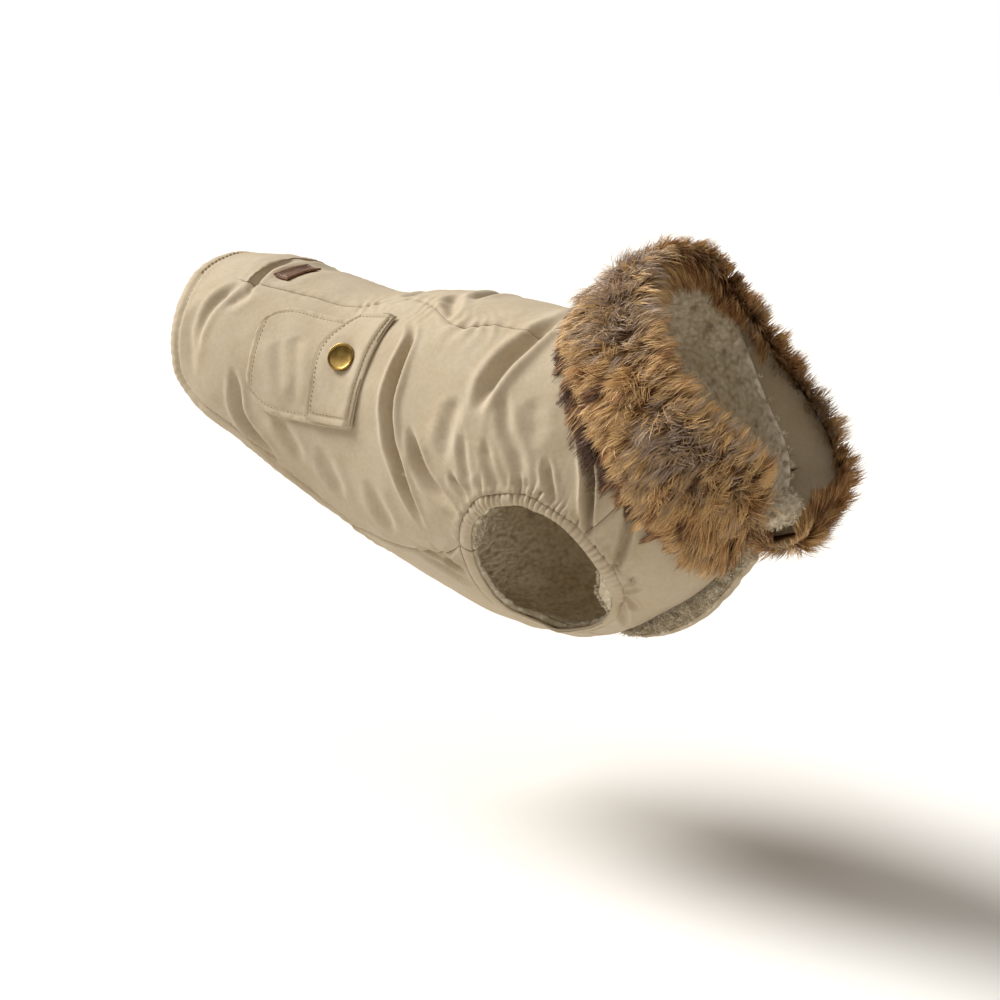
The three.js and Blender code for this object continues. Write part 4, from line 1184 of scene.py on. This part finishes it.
def stand_on(points, place, lift):
    """Moves points built round the origin onto the cloth at a place, +Z along its outward normal."""
    at = np.array(place, float)
    out = unit(form_normal(at[None])[0] + (SNAP_LEAN, 0, 0))
    turn = np.array(Vector((0, 0, 1)).rotation_difference(Vector(out)).to_matrix())
    return points @ turn.T + form_point(at[None])[0] + out * lift


def make_snap():
    angle = np.linspace(0, 2 * np.pi, SNAP_SIDES, endpoint=False)
    radius, height = smooth(SNAP_PROFILE, np.linspace(0, len(SNAP_PROFILE) - 1, SNAP_RINGS)).T
    rings = np.stack([radius[:, None] * np.cos(angle), radius[:, None] * np.sin(angle),
                      height[:, None] + 0 * angle], -1)
    lift = float(flap_relief(*SNAP_ON_FLAP)[0]) + SNAP_CLEAR
    new_piece("snap_cap", stand_on(rings.reshape(-1, 3), SNAP_AT, lift), tube_faces(SNAP_RINGS, SNAP_SIDES),
              BRASS, ["snap_cap"])
    return lift


print(f"snap stands {make_snap():.1f} mm above the form")

# %% Leather patch
LABEL_AT = (1.64, 8.5)           # a place, with millimetres to a station and to a degree there
MM_PER_STATION, MM_PER_DEGREE = 46.0, 1.05
LABEL_SIZE = (10.5, 25.0)        # along the back, across it
LABEL_THICK = 1.4


def label_places(across, down):
    along_back = (across - 0.5) * LABEL_SIZE[0] / MM_PER_STATION
    across_back = (down - 0.5) * LABEL_SIZE[1] / MM_PER_DEGREE
    return np.array(LABEL_AT) + np.stack([along_back, across_back], -1)


def label_relief(across, down):
    base = form_point(label_places(across, down))
    from_ends, from_sides = (np.minimum(share, 1 - share) for share in (across, down))
    away = np.minimum(from_ends * LABEL_SIZE[0], from_sides * LABEL_SIZE[1])
    relief = broad_relief(base) + 0.5 + LABEL_THICK
    return relief - 0.3 * bell(away, 1.7, 0.5) - 0.25 * bell(away, 3.4, 0.35)   # sewn, then pressed


patch_piece("label_patch", label_places, label_relief, LABEL_THICK, (42, 84), (LEATHER, "leather"),
            ["tail_yoke", "back_panel"])

# %% [markdown]
# ## Topstitching
# A lockstitch shows as a row of short threads with small gaps, each sunk a little where it enters the
# cloth. The rows run round the hem and inside the edges of the pocket, flap and patch. Bump could draw
# them, but real threads catch the light, so each is a tiny bent rod. The threads that hold one piece
# are joined in one mesh.

# %% Stitches
STITCH_SHAPE = (                 # along, thickness, lift in millimetres: it sinks in at both ends
    (-1.0, 0.35, -0.25), (-0.65, 1.0, 0.12), (0.65, 1.0, 0.12), (1.0, 0.35, -0.25))
STITCH_SIDES = 5
PROUD = 0.1                      # of the cloth, in millimetres


def shift(run, distance):
    """Moves a run of places sideways over the cloth by millimetres."""
    points, normals = form_point(run), form_normal(run)
    side = np.cross(normals, unit(np.gradient(points, axis=0))) * distance
    step, turn = 1e-3, 0.1
    by_station = (form_point(run - (step, 0)) - points) / -step
    by_angle = (form_point(run + (0, turn)) - points) / turn

    def dot(a, b):
        return np.einsum("ij,ij->i", a, b)

    aa, ab, bb = dot(by_station, by_station), dot(by_station, by_angle), dot(by_angle, by_angle)
    pa, pb = dot(by_station, side), dot(by_angle, side)
    det = aa * bb - ab * ab
    return run + np.stack([(pa * bb - pb * ab) / det, (pb * aa - pa * ab) / det], -1)


def point_on(line, along, at):
    return np.array([np.interp(at, along, line[:, k]) for k in range(3)])


def stitch_mesh(rows, pitch, length, thick):
    """Short threads along rows of (points, normals)."""
    one_stitch = tube_faces(len(STITCH_SHAPE), STITCH_SIDES)
    points, faces = [], []
    for line, normals in rows:
        steps = np.linalg.norm(np.diff(line, axis=0), axis=1)
        along = np.concatenate([[0], np.cumsum(steps)])
        for centre in np.arange(pitch / 2, along[-1], pitch):
            ends = [point_on(line, along, centre + end * length / 2) for end in (-1, 1)]
            out = unit(point_on(normals, along, centre))
            forward = unit(ends[1] - ends[0])
            across = np.cross(out, forward)
            start = len(points)
            faces += [tuple(start + k for k in face) for face in one_stitch]
            for place, size, lift in STITCH_SHAPE:
                middle = (ends[0] + ends[1]) / 2 + forward * place * length / 2 + out * lift
                for k in range(STITCH_SIDES):
                    turn = 2 * math.pi * k / STITCH_SIDES
                    points.append(middle + (across * math.cos(turn) + out * math.sin(turn)) * thick * size)
    return np.array(points), faces


def on_shell(run):
    base, normal = form_point(run), form_normal(run)
    return raise_off(base, normal, shell_relief(base) + PROUD), normal


def on_patch(places_of, relief_of, corners):
    """A row of stitches through corners given as (across, down) of a patch piece."""
    path = np.concatenate([straight(a, b, 60)[:-1] for a, b in zip(corners, corners[1:])])
    places = places_of(path[:, 0], path[:, 1])
    base, normal = form_point(places), form_normal(places)
    return raise_off(base, normal, relief_of(path[:, 0], path[:, 1]) + PROUD), normal


def boxed(across, down):
    """Corners of a closed row between two shares across and two down."""
    near, far = across
    return [(near, down[0]), (far, down[0]), (far, down[1]), (near, down[1]), (near, down[0])]


HEM_ROW_STATION = 0.21
hem_run = places_from(HEM, 400)
hem_rows = [on_shell(shift(run, side * HEM_WIDTH)) for run, side in ((hem_run, 1), (hem_run * FLIP, -1))]
hem_rows.append(on_shell(straight((HEM_ROW_STATION, 33), (HEM_ROW_STATION, -33), 80)))
pocket_row = on_patch(pocket_places, pocket_relief, [(0.96, 0.055), (0.3, 0.055), (0.045, 0.055),
                                                     (0.045, 0.945), (0.3, 0.945), (0.96, 0.945)])
flap_row = on_patch(flap_places, flap_relief, boxed((0.09, 0.9), (0.06, 0.94)))
label_row = on_patch(label_places, label_relief, boxed((0.12, 0.88), (0.06, 0.94)))
STITCHED = {  # rows, the pitch, length and thickness of a stitch in millimetres, slot, node
    "hem_stitches": (hem_rows, 3.2, 2.5, 0.3, "twill", "tail_yoke"),
    "pocket_stitches": ([pocket_row], 2.7, 2.0, 0.24, "twill", "pocket_right"),
    "flap_stitches": ([flap_row], 2.7, 2.0, 0.24, "twill", "pocket_flap_right"),
    "label_stitches": ([label_row], 2.2, 1.5, 0.2, "leather", "label_patch"),
}
for name, (stitch_rows, pitch, length, thick, slot, node) in STITCHED.items():
    points, faces = stitch_mesh(stitch_rows, pitch, length, thick)
    new_piece(name, points, faces, THREAD, [node])
    print(f"{name}: {len(points) // (len(STITCH_SHAPE) * STITCH_SIDES)}")

# %% [markdown]
# ## Collar
# The collar is one standing band, sewn into the neck seam and flared: twill towards the fur, sherpa
# towards the neck. A row of the table is one cross-section at an angle round the neck.

# %% Collar sections
COLLAR = np.array([
    # angle, free edge, edge of the sherpa, crown of the fur, past the edge, over the seam
    (-162, 147, 22, -101, 149, 13, -89, 8, 12, 3),
    (-152, 143, 42, -96, 144, 20, -78, 11, 15, 4),
    (-140, 142, 62, -91, 138, 30, -66, 12, 15, 5),
    (-125, 135, 76, -78, 126, 40, -53, 13, 12, 6),
    (-110, 121, 82, -56, 111, 47, -38, 14, 10, 8),
    (-90, 101, 70, -22, 95, 50, -12, 15, 7, 10),
    (-60, 86, 44, 14, 86, 43, 14, 15, 4, 12),
    (-30, 79, 25, 34, 79, 25, 34, 14, 3, 12),
    (0, 77, 0, 38, 77, 0, 38, 13, 3, 12),
    (30, 81, -25, 32, 81, -25, 32, 14, 3, 13),
    (60, 97, -44, 5, 97, -44, 5, 15, 3, 15),
    (90, 119, -51, -22, 119, -51, -22, 15, 3, 16),
    (120, 142, -44, -41, 142, -44, -41, 14, 3, 12),
    (145, 151, -28, -57, 151, -28, -57, 13, 3, 12),
    (160, 145, -15, -74, 145, -15, -74, 9, 3, 9),
], float)
EDGE, LINED = slice(1, 4), slice(4, 7)
CROWN, PAST, OVER = 7, 8, 9


def neck_point(angle):
    return form_point(np.stack([np.full(len(angle), float(LAST)), angle], -1))


def section(row, key, clear):
    """The base, free edge, rise and outward direction of the band or its sherpa at rows of the table."""
    angle = smooth(COLLAR[:, 0], row)
    seam = neck_point(angle)
    edge = smooth(COLLAR[:, key], row)
    rise = unit(edge - seam)
    around = unit(smooth(COLLAR[:, key], row + 0.05) - smooth(COLLAR[:, key], row - 0.05))
    around = around + unit(neck_point(angle + 1) - seam)
    return seam + rise * clear, edge, rise, unit(np.cross(around, rise))


COLLAR_STEPS = 360
BAND_STEPS = 12
BAND_CLEAR, STAND_CLEAR = 0.9, 2.4    # millimetres above the neck seam
STAND_REACH = 0.96
rows = np.linspace(0, len(COLLAR) - 1, COLLAR_STEPS + 1)


def band_grid(key, clear, reach, lift, steps):
    base, edge, _, out = section(rows, key, clear)
    across = np.linspace(0, reach, steps + 1)[None, :, None]
    return lerp(base[:, None], edge[:, None], across) + out[:, None] * lift


band_back = band_grid(EDGE, BAND_CLEAR, 1, 0.0, BAND_STEPS)
band_face = band_grid(EDGE, BAND_CLEAR, 1, -TWILL, BAND_STEPS)
band_face = raise_off(band_face, section(rows, EDGE, BAND_CLEAR)[3][:, None], 0.5 * noise(band_face, 14, 51))
sheet_piece("collar_shell", band_face, band_back[::COARSE, ::COARSE], TWILL_CLOTH, "twill", "stretched",
            rests_on=["chest_panel_left", "chest_panel_right", "back_panel"])
STAND = -(TWILL + 0.6)


def stand_grid(lift, lining_lift, turned=6, steps=23):
    """The stand, its foot turned in to meet the lining below the neck seam."""
    upper = band_grid(LINED, STAND_CLEAR, STAND_REACH, lift, steps)[:, 2:]
    angle = smooth(COLLAR[:, 0], rows)
    foot_place = np.stack([np.full(len(rows), LAST - 0.03), angle], -1)
    foot = form_point(foot_place) + form_normal(foot_place) * lining_lift
    share = np.arange(turned)[None, :, None] / turned
    corner = upper[:, :1] + (upper[:, :1] - upper[:, 1:2]) * 1.6
    turn_in = lerp(lerp(foot[:, None], corner, share), lerp(corner, upper[:, :1], share), share)
    return np.concatenate([turn_in, upper], axis=1)


stand_back = stand_grid(STAND, LINING_TOP)
stand_face = stand_grid(STAND - SHERPA + 0.4, LINING_FACE + 0.4)
stand_face = stand_face - section(rows, LINED, STAND_CLEAR)[3][:, None] * lumps(stand_face, 52)[..., None]
sheet_piece("collar_lining", stand_face, stand_back[::COARSE, ::COARSE], SHERPA_CLOTH, "sherpa", "stretched",
            rests_on=["collar_shell"])

# %% [markdown]
# ## Fur
# Faux fur is a knitted backing with pile through it. The pile is made of single tapered ribbons, because
# it is the broken outline and the locks that say fur. They grow in locks: hairs of one lock start a
# couple of millimetres apart, share a lean and close up towards their tips. They are combed to both
# edges of the trim, from a parting nearer its free edge.

# %% Fur body
# share down the band, share of the crown
FUR_ACROSS = ((0, 0.72), (0.33, 0.97), (0.67, 1), (0.95, 0.88))
FUR_CLEAR = 0.8
FUR_RIM = 2


def fur_lines(row, reach=0.12):
    """The low and high line of the fur across the band at rows of the collar's table."""
    _, edge, rise, out = section(row, EDGE, BAND_CLEAR)
    angle, crown, past, over = (smooth(COLLAR[:, k], row)[:, None] for k in (0, CROWN, PAST, OVER))
    seam = neck_point(angle[:, 0])
    behind = form_point(np.stack([np.full(len(row), LAST - 1.0), angle[:, 0]], -1))
    station = LAST - over[:, 0] / np.linalg.norm(seam - behind, axis=1)
    shell = np.stack([station, angle[:, 0]], -1)
    near_seam = form_normal(np.stack([np.full(len(row), LAST - 0.05), angle[:, 0]], -1))
    lines = []
    for high in (0, 1):
        line = [edge + rise * past * reach + out * (FUR_CLEAR + high * FUR_RIM)]
        for down, share in FUR_ACROSS:
            line.append(lerp(edge, seam, down) + out * (FUR_CLEAR + high * crown * share))
        line += [seam + unit(out + near_seam) * (FUR_CLEAR + high * crown * 0.8)]
        line += [form_point(shell) + form_normal(shell) * (FUR_CLEAR + high * FUR_RIM)]
        lines.append(np.stack(line, 1))
    return lines


FUR_GRID = 1260
fur_rows = np.linspace(0, len(COLLAR) - 1, FUR_GRID + 1)
low_lines, high_lines = fur_lines(fur_rows)


def across_fur(lines, share):
    """Points across the fur at shares from the free edge (0) to the shell (1)."""
    return smooth(np.swapaxes(lines, 0, 1), share * (lines.shape[1] - 1))


BODY = 0.42                      # the dense pile, as a share of the crown
body_share = np.linspace(0, 1, 25)
body_low = np.swapaxes(across_fur(low_lines[::5], body_share), 0, 1)
body_high = np.swapaxes(across_fur(low_lines[::5] + (high_lines - low_lines)[::5] * BODY, body_share), 0, 1)
body_out = unit(body_high - body_low)
body_high = body_high + body_out * (1.2 * noise(body_high, 6, 61))[..., None]
points, faces, ring, inner_shape = wall(body_high, body_low[::COARSE, ::COARSE])
# painted shade: the dense pile takes a hair tone with the fur material's dark root shade, for the shade deep
# among the hairs
body_tone_and_shade_uv = np.tile((0.36, 0.22), (len(points), 1))
fur_backing = new_piece("fur_backing", points, faces, FUR, ["fur_trim"], body_tone_and_shade_uv)

# %% Where the locks grow
LOCKS = 2900
HAIRS = 26                       # to a lock
LOCK_SPREAD = 1.7                # millimetres
TABLE_STEPS = 60                 # across the fur, of the tables that place the hairs


def fur_frame(row, share, height):
    """Points on the fur between its low and high faces, with the outward and across directions."""
    at = row / (len(COLLAR) - 1) * FUR_GRID
    i = np.clip(np.floor(at).astype(int), 0, FUR_GRID - 1)
    f = (at - i)[:, None]
    j = np.clip(np.floor(share * TABLE_STEPS).astype(int), 0, TABLE_STEPS - 1)
    g = (share * TABLE_STEPS - j)[:, None]

    def pick(table, j_step=0):
        jj = np.clip(j + j_step, 0, TABLE_STEPS - 1)
        near, far = (lerp(table[i, k], table[i + 1, k], f) for k in (jj, jj + 1))
        return lerp(near, far, g)

    low, high = pick(low_table), pick(high_table)
    out = unit(high - low)
    across = unit(pick(high_table, 1) - pick(high_table, -1))
    return lerp(low, high, height[:, None]), out, across


table_share = np.linspace(0, 1, TABLE_STEPS + 1)
low_table = np.swapaxes(across_fur(low_lines, table_share), 0, 1)
high_table = np.swapaxes(across_fur(high_lines, table_share), 0, 1)

random = np.random.default_rng(7)
row_length = np.linalg.norm(np.diff((low_table[:, 20] + high_table[:, 40]) / 2, axis=0), axis=1)
row_weight = np.concatenate([[0], np.cumsum(row_length + 0.12)])
lock_row = np.interp(random.uniform(0, row_weight[-1], LOCKS), row_weight, fur_rows)
lock_share = random.uniform(0.02, 0.98, LOCKS)
at_edge = random.uniform(0, 1, LOCKS) < 0.12        # these hang over the free edge
lock_share = np.where(at_edge, lock_share * 0.05, lock_share)
at_end = random.uniform(0, 1, LOCKS) < 0.05         # and these over the band's end on the dog's left
lock_row = np.where(at_end, random.uniform(0, 0.15, LOCKS), lock_row)
lock_lean = random.normal(0, 0.17, (LOCKS, 3))
lock_tone = random.normal(0, 1, LOCKS)
lock_long = random.normal(1, 0.12, LOCKS)

lock = np.repeat(np.arange(LOCKS), HAIRS)           # the lock of each hair
count = len(lock)
mm_row = row_weight[-1] / (len(COLLAR) - 1)
hair_row = np.clip(lock_row[lock] + random.normal(0, LOCK_SPREAD / mm_row, count), 0, len(COLLAR) - 1)
hair_share = np.clip(lock_share[lock] + random.normal(0, 0.028, count), 0.0, 1.0)
root, out, across = fur_frame(hair_row, hair_share, np.full(count, BODY * 0.7))
along = np.cross(out, across)
print(f"{LOCKS} locks, {count} hairs")

# %% How the hairs lie
PARTING = 0.34                   # where the pile parts, from the free edge (0) to the shell (1)
END_WARD = (0.2, -0.95, -0.24)   # out past the band's end on the dog's left
HAIR_LENGTH = (17.0, 2.1)        # mean and spread
HAIR_STRAY = 0.08                # how far a hair leans out of its lock
GATHER = 0.3                     # how far the tips of a lock close up
HAIR_JOINTS = np.array([0.0, 0.36, 0.72, 1.0])

side = np.where(hair_share < PARTING, hair_share / PARTING - 1, (hair_share - PARTING) / (1 - PARTING))
side = side + random.normal(0, 0.22, LOCKS)[lock]
edge_ward = np.sign(side) * np.abs(side) ** 0.6
length = HAIR_LENGTH[0] * lock_long[lock] + random.normal(0, HAIR_LENGTH[1], count)
lean = lock_lean[lock] + random.normal(0, HAIR_STRAY, (count, 3))
lean = lean - out * (0.9 * at_edge + at_end)[lock][:, None]
lean = lean + np.array(END_WARD) * (1.3 * at_end[lock])[:, None]
first = unit(out * (0.9 - 0.4 * np.abs(edge_ward))[:, None] + across * edge_ward[:, None] * 0.9 + lean * 0.5)
second = unit(out * (0.2 - 0.35 * np.abs(edge_ward))[:, None] + across * edge_ward[:, None] * 1.4
              + along * lean[:, :1] * 0.8 + lean * 0.4 + np.array([0, 0, -0.12])
              - out * (1.2 * at_end[lock])[:, None])
spine = np.stack([root + length[:, None] * (first * (t - 0.5 * t * t) + second * (0.5 * t * t))
                  for t in HAIR_JOINTS], 1)
lock_middle = np.zeros((LOCKS, len(HAIR_JOINTS), 3))
np.add.at(lock_middle, lock, spine / HAIRS)
spine = lerp(spine, lock_middle[lock], (HAIR_JOINTS ** 1.5 * GATHER)[None, :, None])
spine += random.normal(0, 0.22, spine.shape) * HAIR_JOINTS[None, :, None]
print(f"hairs {length.mean():.1f} mm long on average")

# %% Ribbons and tones of the hairs
HAIR_WIDTH = 0.44
HAIR_TAPER = (0.8, 1.0, 0.62)

forward = unit(spine[:, 1] - spine[:, 0])
flat = unit(np.cross(forward, out) + random.normal(0, 0.5, (count, 3)))
flat = unit(flat - forward * np.einsum("ij,ij->i", flat, forward)[:, None])
width = HAIR_WIDTH * random.uniform(0.75, 1.25, count)
halves = [flat * (width * taper / 2)[:, None] for taper in HAIR_TAPER]
pairs = [spine[:, k] + sign * half for k, half in enumerate(halves) for sign in (-1, 1)]
hair_points = np.stack([*pairs, spine[:, 3]], 1)
grey = bell(hair_share, 0.36, 0.12) * (0.9 + 0.6 * noise(root, 30, 72))    # in patches along the parting
brown = np.clip((hair_share - 0.66) / 0.3, 0, 1)                           # towards the shell
low_down = np.clip((hair_row - 10.5) / 3, 0, 1)                            # near the throat, on the right
tone = 0.55 - 0.04 * low_down + 0.15 * lock_tone[lock] + random.normal(0, 0.09, count)
tone = tone + 0.3 * noise(root, 20, 71) - 0.36 * grey * (1 - 0.5 * low_down)
tone = tone + 0.6 * brown * (1 - low_down) + random.normal(0, 0.05, count)
tone = np.clip(tone, 0, 1)
hair_v = np.array([*np.repeat(HAIR_JOINTS[:3], 2), 1.0])
print(f"tone {tone.mean():.2f} on average")

# %% Fur piles
PARTS = ("left", "nape", "shoulder", "right")
part_of = np.clip((hair_row / (len(COLLAR) - 1) * len(PARTS)).astype(int), 0, len(PARTS) - 1)
for n, part in enumerate(PARTS):
    mine = np.flatnonzero(part_of == n)
    uv = np.stack(np.broadcast_arrays(tone[mine][:, None], hair_v[None]), -1).reshape(-1, 2)
    new_piece(f"fur_pile_{part}", hair_points[mine].reshape(-1, 3), ribbon_faces(len(mine)),
                           FUR, ["fur_trim"], uv)
    print(f"fur_pile_{part}: {len(mine)} hairs")
flat, area = cut_of(body_high)

# %% [markdown]
# ## The turned front
# At the throat the left front's facing curls over on itself: a soft scroll of sherpa.

# %% Roll
# points along its middle, and its radius there
ROLL = ((141, -8, -88, 4), (147, -7, -86, 6.5), (151, -2, -84, 7.5), (152, 4, -82, 6),
        (147.4, 12.6, -84, 3.2))
HOLLOW_DEPTH = 3.6
# share along the roll, direction that the hollow faces, size in mm
ROLL_HOLLOWS = ((0.28, (0.6, -0.75, 0.35), 2.6), (0.66, (0.8, -0.5, -0.2), 2.2))


def make_roll(long_steps=60, around_steps=48):
    row = np.linspace(0, len(ROLL) - 1, long_steps + 1)
    table = smooth(ROLL, row)
    middle, radius = table[:, :3], table[:, 3]
    forward = unit(np.gradient(middle, axis=0))
    across = unit(np.cross(np.array([0, 1, 0]), forward))
    up = np.cross(forward, across)
    turn = np.linspace(0, 2 * np.pi, around_steps, endpoint=False)
    close = np.sqrt(np.clip(1 - (np.abs(row / (len(ROLL) - 1) * 2 - 1)) ** 8, 0.05, 1))
    rings = middle[:, None] + (across[:, None] * np.cos(turn)[None, :, None]
                               + up[:, None] * np.sin(turn)[None, :, None]) * (radius * close)[:, None, None]
    out = unit(rings - middle[:, None])
    rings = rings + out * (1.5 * lumps(rings, 81, 4.2) - 1.6)[..., None]
    for at, toward, size in ROLL_HOLLOWS:
        ring = int(at * long_steps)
        bottom = rings[ring, np.argmax(out[ring] @ unit(np.array(toward)))]
        rings = raise_off(rings, out, -HOLLOW_DEPTH * bell(np.linalg.norm(rings - bottom, axis=-1), 0, size))
    points, faces = rings.reshape(-1, 3), tube_faces(*rings.shape[:2])
    roll = new_piece("front_roll_left", points, faces, SHERPA_CLOTH, ["front_roll_left"])


make_roll()

# %% [markdown]
# ## Bound edge and loose curls
# The edge of the left front that hangs past the closing is bound with a strip of twill, stitched twice.
# Where the sherpa is cut, its pile stands out in short loose curls, made of tiny bent ribbons.

# %% Binding
BOUND = 3.8                      # how far the binding reaches in from the edge
BOUND_SECTION = (                # in from the edge, and from the pile (0) to the twill face (1)
    (1.0, 0.02), (0.92, -0.14), (0.78, -0.24), (0.64, -0.2), (0.54, -0.04), (0.44, -0.2), (0.28, -0.26),
    (0.1, -0.14), (-0.12, 0.12), (-0.22, 0.5), (-0.12, 0.88), (0.1, 1.06), (0.5, 1.12), (0.9, 1.08),
    (1.0, 1.0), (1.0, 0.5),
)


def make_binding(long_steps=200):
    places = straight((LAST, FRONT_ANGLE), (CROSS_STATION, FRONT_ANGLE), long_steps)[:, None]
    base = form_point(places)
    pile_edge, twill_edge = (hang(base, places, LIP_FACE + face)[:, -1] for face in (LINING_FACE + 0.8, 0.3))
    middle = hang(base, places, 0)
    rise = unit(middle[:, -2] - middle[:, -1])
    into, side = np.array(BOUND_SECTION).T
    rings = lerp(pile_edge[:, None], twill_edge[:, None], side[None, :, None])
    rings = rings + rise[:, None] * (into * BOUND)[:, None]
    rings += 0.25 * noise(rings, 9, 91)[..., None]
    rows, cols = rings.shape[:2]
    threads = (np.indices((rows, cols)).reshape(2, -1) * ((0.5,), (1.0,))).T
    return new_piece("front_binding_left", rings.reshape(-1, 3), tube_faces(rows, cols), TWILL_CLOTH,
                     ["chest_panel_left"], threads=threads)


print("binding:", len(make_binding().data.polygons), "faces")

# %% Loose curls
CURL = (0.8, 2.4)                # shortest and longest curl, mm


def make_curls(name, stands_for, roots, normals, count, seed):
    """Tiny bent ribbons scattered over rows of roots."""
    random = np.random.default_rng(seed)
    pick = random.integers(0, len(roots), count)
    at = roots[pick] + random.normal(0, 0.6, (count, 3))
    lean = unit(normals[pick] * 0.9 + random.normal(0, 0.6, (count, 3)))
    side = unit(np.cross(lean, random.normal(0, 1, (count, 3))))
    bend = np.cross(side, lean)
    size = random.uniform(*CURL, count)[:, None]
    thick = side * 0.22
    spine = [at - lean * 0.3, at + lean * size * 0.55, at + lean * size * 0.85 + bend * size * 0.35,
             at + lean * size * 0.75 + bend * size * 0.75]
    points = np.stack([spine[0] - thick, spine[0] + thick, spine[1] - thick, spine[1] + thick,
                       spine[2] - thick * 0.8, spine[2] + thick * 0.8, spine[3]], 1)
    new_piece(name, points.reshape(-1, 3), ribbon_faces(count), SHERPA_CLOTH, stands_for)
    print(f"{name}: {count} curls")


def from_mesh(name, kept):
    """Points and normals of a piece's mesh, in millimetres, where kept says so."""
    mesh = bpy.data.objects[name].data
    points = np.zeros(len(mesh.vertices) * 3)
    mesh.vertices.foreach_get("co", points)
    normals = np.zeros(len(mesh.vertices) * 3)
    mesh.vertices.foreach_get("normal", normals)
    points, normals = points.reshape(-1, 3) / MM, normals.reshape(-1, 3)
    chosen = kept(points, normals)
    return points[chosen], normals[chosen]


for side in ("right", "left"):
    make_curls(f"armhole_curls_{side}", [f"armhole_facing_{side}"], *loose_edges[side], 2400, 92)
make_curls("front_curls_left", ["lining_chest_panel_left"], lip_pile.reshape(-1, 3),
           np.tile((0.0, -1.0, 0.0), (lip_pile[..., 0].size, 1)), 2400, 93)
make_curls("roll_curls_left", ["front_roll_left"],
           *from_mesh("front_roll_left", lambda points, normals: points[:, 0] > 0), 1500, 94)
make_curls("collar_curls", ["collar_lining"],
           *from_mesh("collar_lining", lambda points, normals: normals[:, 0] + normals[:, 2] > -2), 5200, 95)

# %% [markdown]
# ## Floor, light and camera
# The coat keeps the place it had when worn, above a plain pale floor, in a white studio: one broad soft
# light high on the left, a softer one from overhead, a faint warm one from the right, and a dim surround.
# The backdrop still shows white, because it is brighter to the camera than to the coat.

# %% Floor
FLOOR_HEIGHT = -0.300            # metres
FLOOR_HALF = 6.0


def studio_material():
    material, tree, shader = new_material("matt white studio sweep", Roughness=0.95, Specular_IOR_Level=0.1)
    paper = noise_of(tree, in_object_space(tree), 3, 2)
    tree.links.new(add_ramp(tree, paper, [(0.3, "#ECE9E3"), (0.7, "#EEEBE5")]), shader.inputs["Base Color"])
    return material


sweep = bpy.data.meshes.new("floor")
corners = [(x * FLOOR_HALF, y * FLOOR_HALF, FLOOR_HEIGHT) for x, y in ((-1, -1), (1, -1), (1, 1), (-1, 1))]
sweep.from_pydata(corners, [], [(0, 1, 2, 3)])
sweep.materials.append(studio_material())
floor = bpy.data.objects.new("floor", sweep)
bpy.context.scene.collection.objects.link(floor)
print("floor at", FLOOR_HEIGHT, "m")


# %% Lights
def from_angles(azimuth, elevation):
    """The direction towards a viewer at an azimuth and elevation, in degrees."""
    a, e = math.radians(azimuth), math.radians(elevation)
    return Vector((math.sin(a) * math.cos(e), -math.cos(a) * math.cos(e), math.sin(e)))


def add_sun(name, azimuth, elevation, softness, power, color=(1.0, 1.0, 1.0)):
    """A broad far light: softness is the angle that it fills, in degrees."""
    light = bpy.data.lights.new(name, "SUN")
    light.angle = math.radians(softness)
    light.energy = power
    light.color = color
    lamp = bpy.data.objects.new(name, light)
    lamp.rotation_euler = from_angles(azimuth, elevation).to_track_quat("Z", "Y").to_euler()
    bpy.context.scene.collection.objects.link(lamp)


add_sun("key", -76, 44, 24, 4.4)
add_sun("overhead", -30, 72, 60, 1.0, (0.95, 0.97, 1.0))
add_sun("fill", 80, 15, 50, 0.12, (1.0, 0.8, 0.55))
print("lights:", *(light.name for light in bpy.data.lights))

# %% Surround
SURROUND = 0.13                  # of the white that the backdrop shows
world = bpy.data.worlds.new("studio")
world.use_nodes = True
backdrop = world.node_tree.nodes["Background"]
seen = add_node(world.node_tree, "LightPath").outputs["Is Camera Ray"]
bright = add_node(world.node_tree, "MapRange", {"To Min": SURROUND, "To Max": 1.0}, {"Value": seen})
world.node_tree.links.new(bright.outputs[0], backdrop.inputs["Strength"])
warmth = add_ramp(world.node_tree, seen, [(0.0, "#FFEBD0"), (1.0, "#FFFFFF")])
world.node_tree.links.new(warmth, backdrop.inputs["Color"])
bpy.context.scene.world = world
bpy.context.scene.view_settings.view_transform = "Standard"

print("surround:", SURROUND)

# %% Camera
TARGET = Vector((-0.040, 0.0, -0.109))
VIEW = from_angles(40, 14)
VIEW_DISTANCE = 1.257            # metres
SENSOR, LENS = 36, 79.2          # millimetres

camera_data = bpy.data.cameras.new("camera")
camera_data.sensor_width = SENSOR
camera_data.lens = LENS
camera = bpy.data.objects.new("camera", camera_data)
camera.location = TARGET + VIEW * VIEW_DISTANCE
camera.rotation_euler = VIEW.to_track_quat("Z", "Y").to_euler()
bpy.context.scene.collection.objects.link(camera)
bpy.context.scene.camera = camera
print("camera at", [round(v, 3) for v in camera.location], "m")
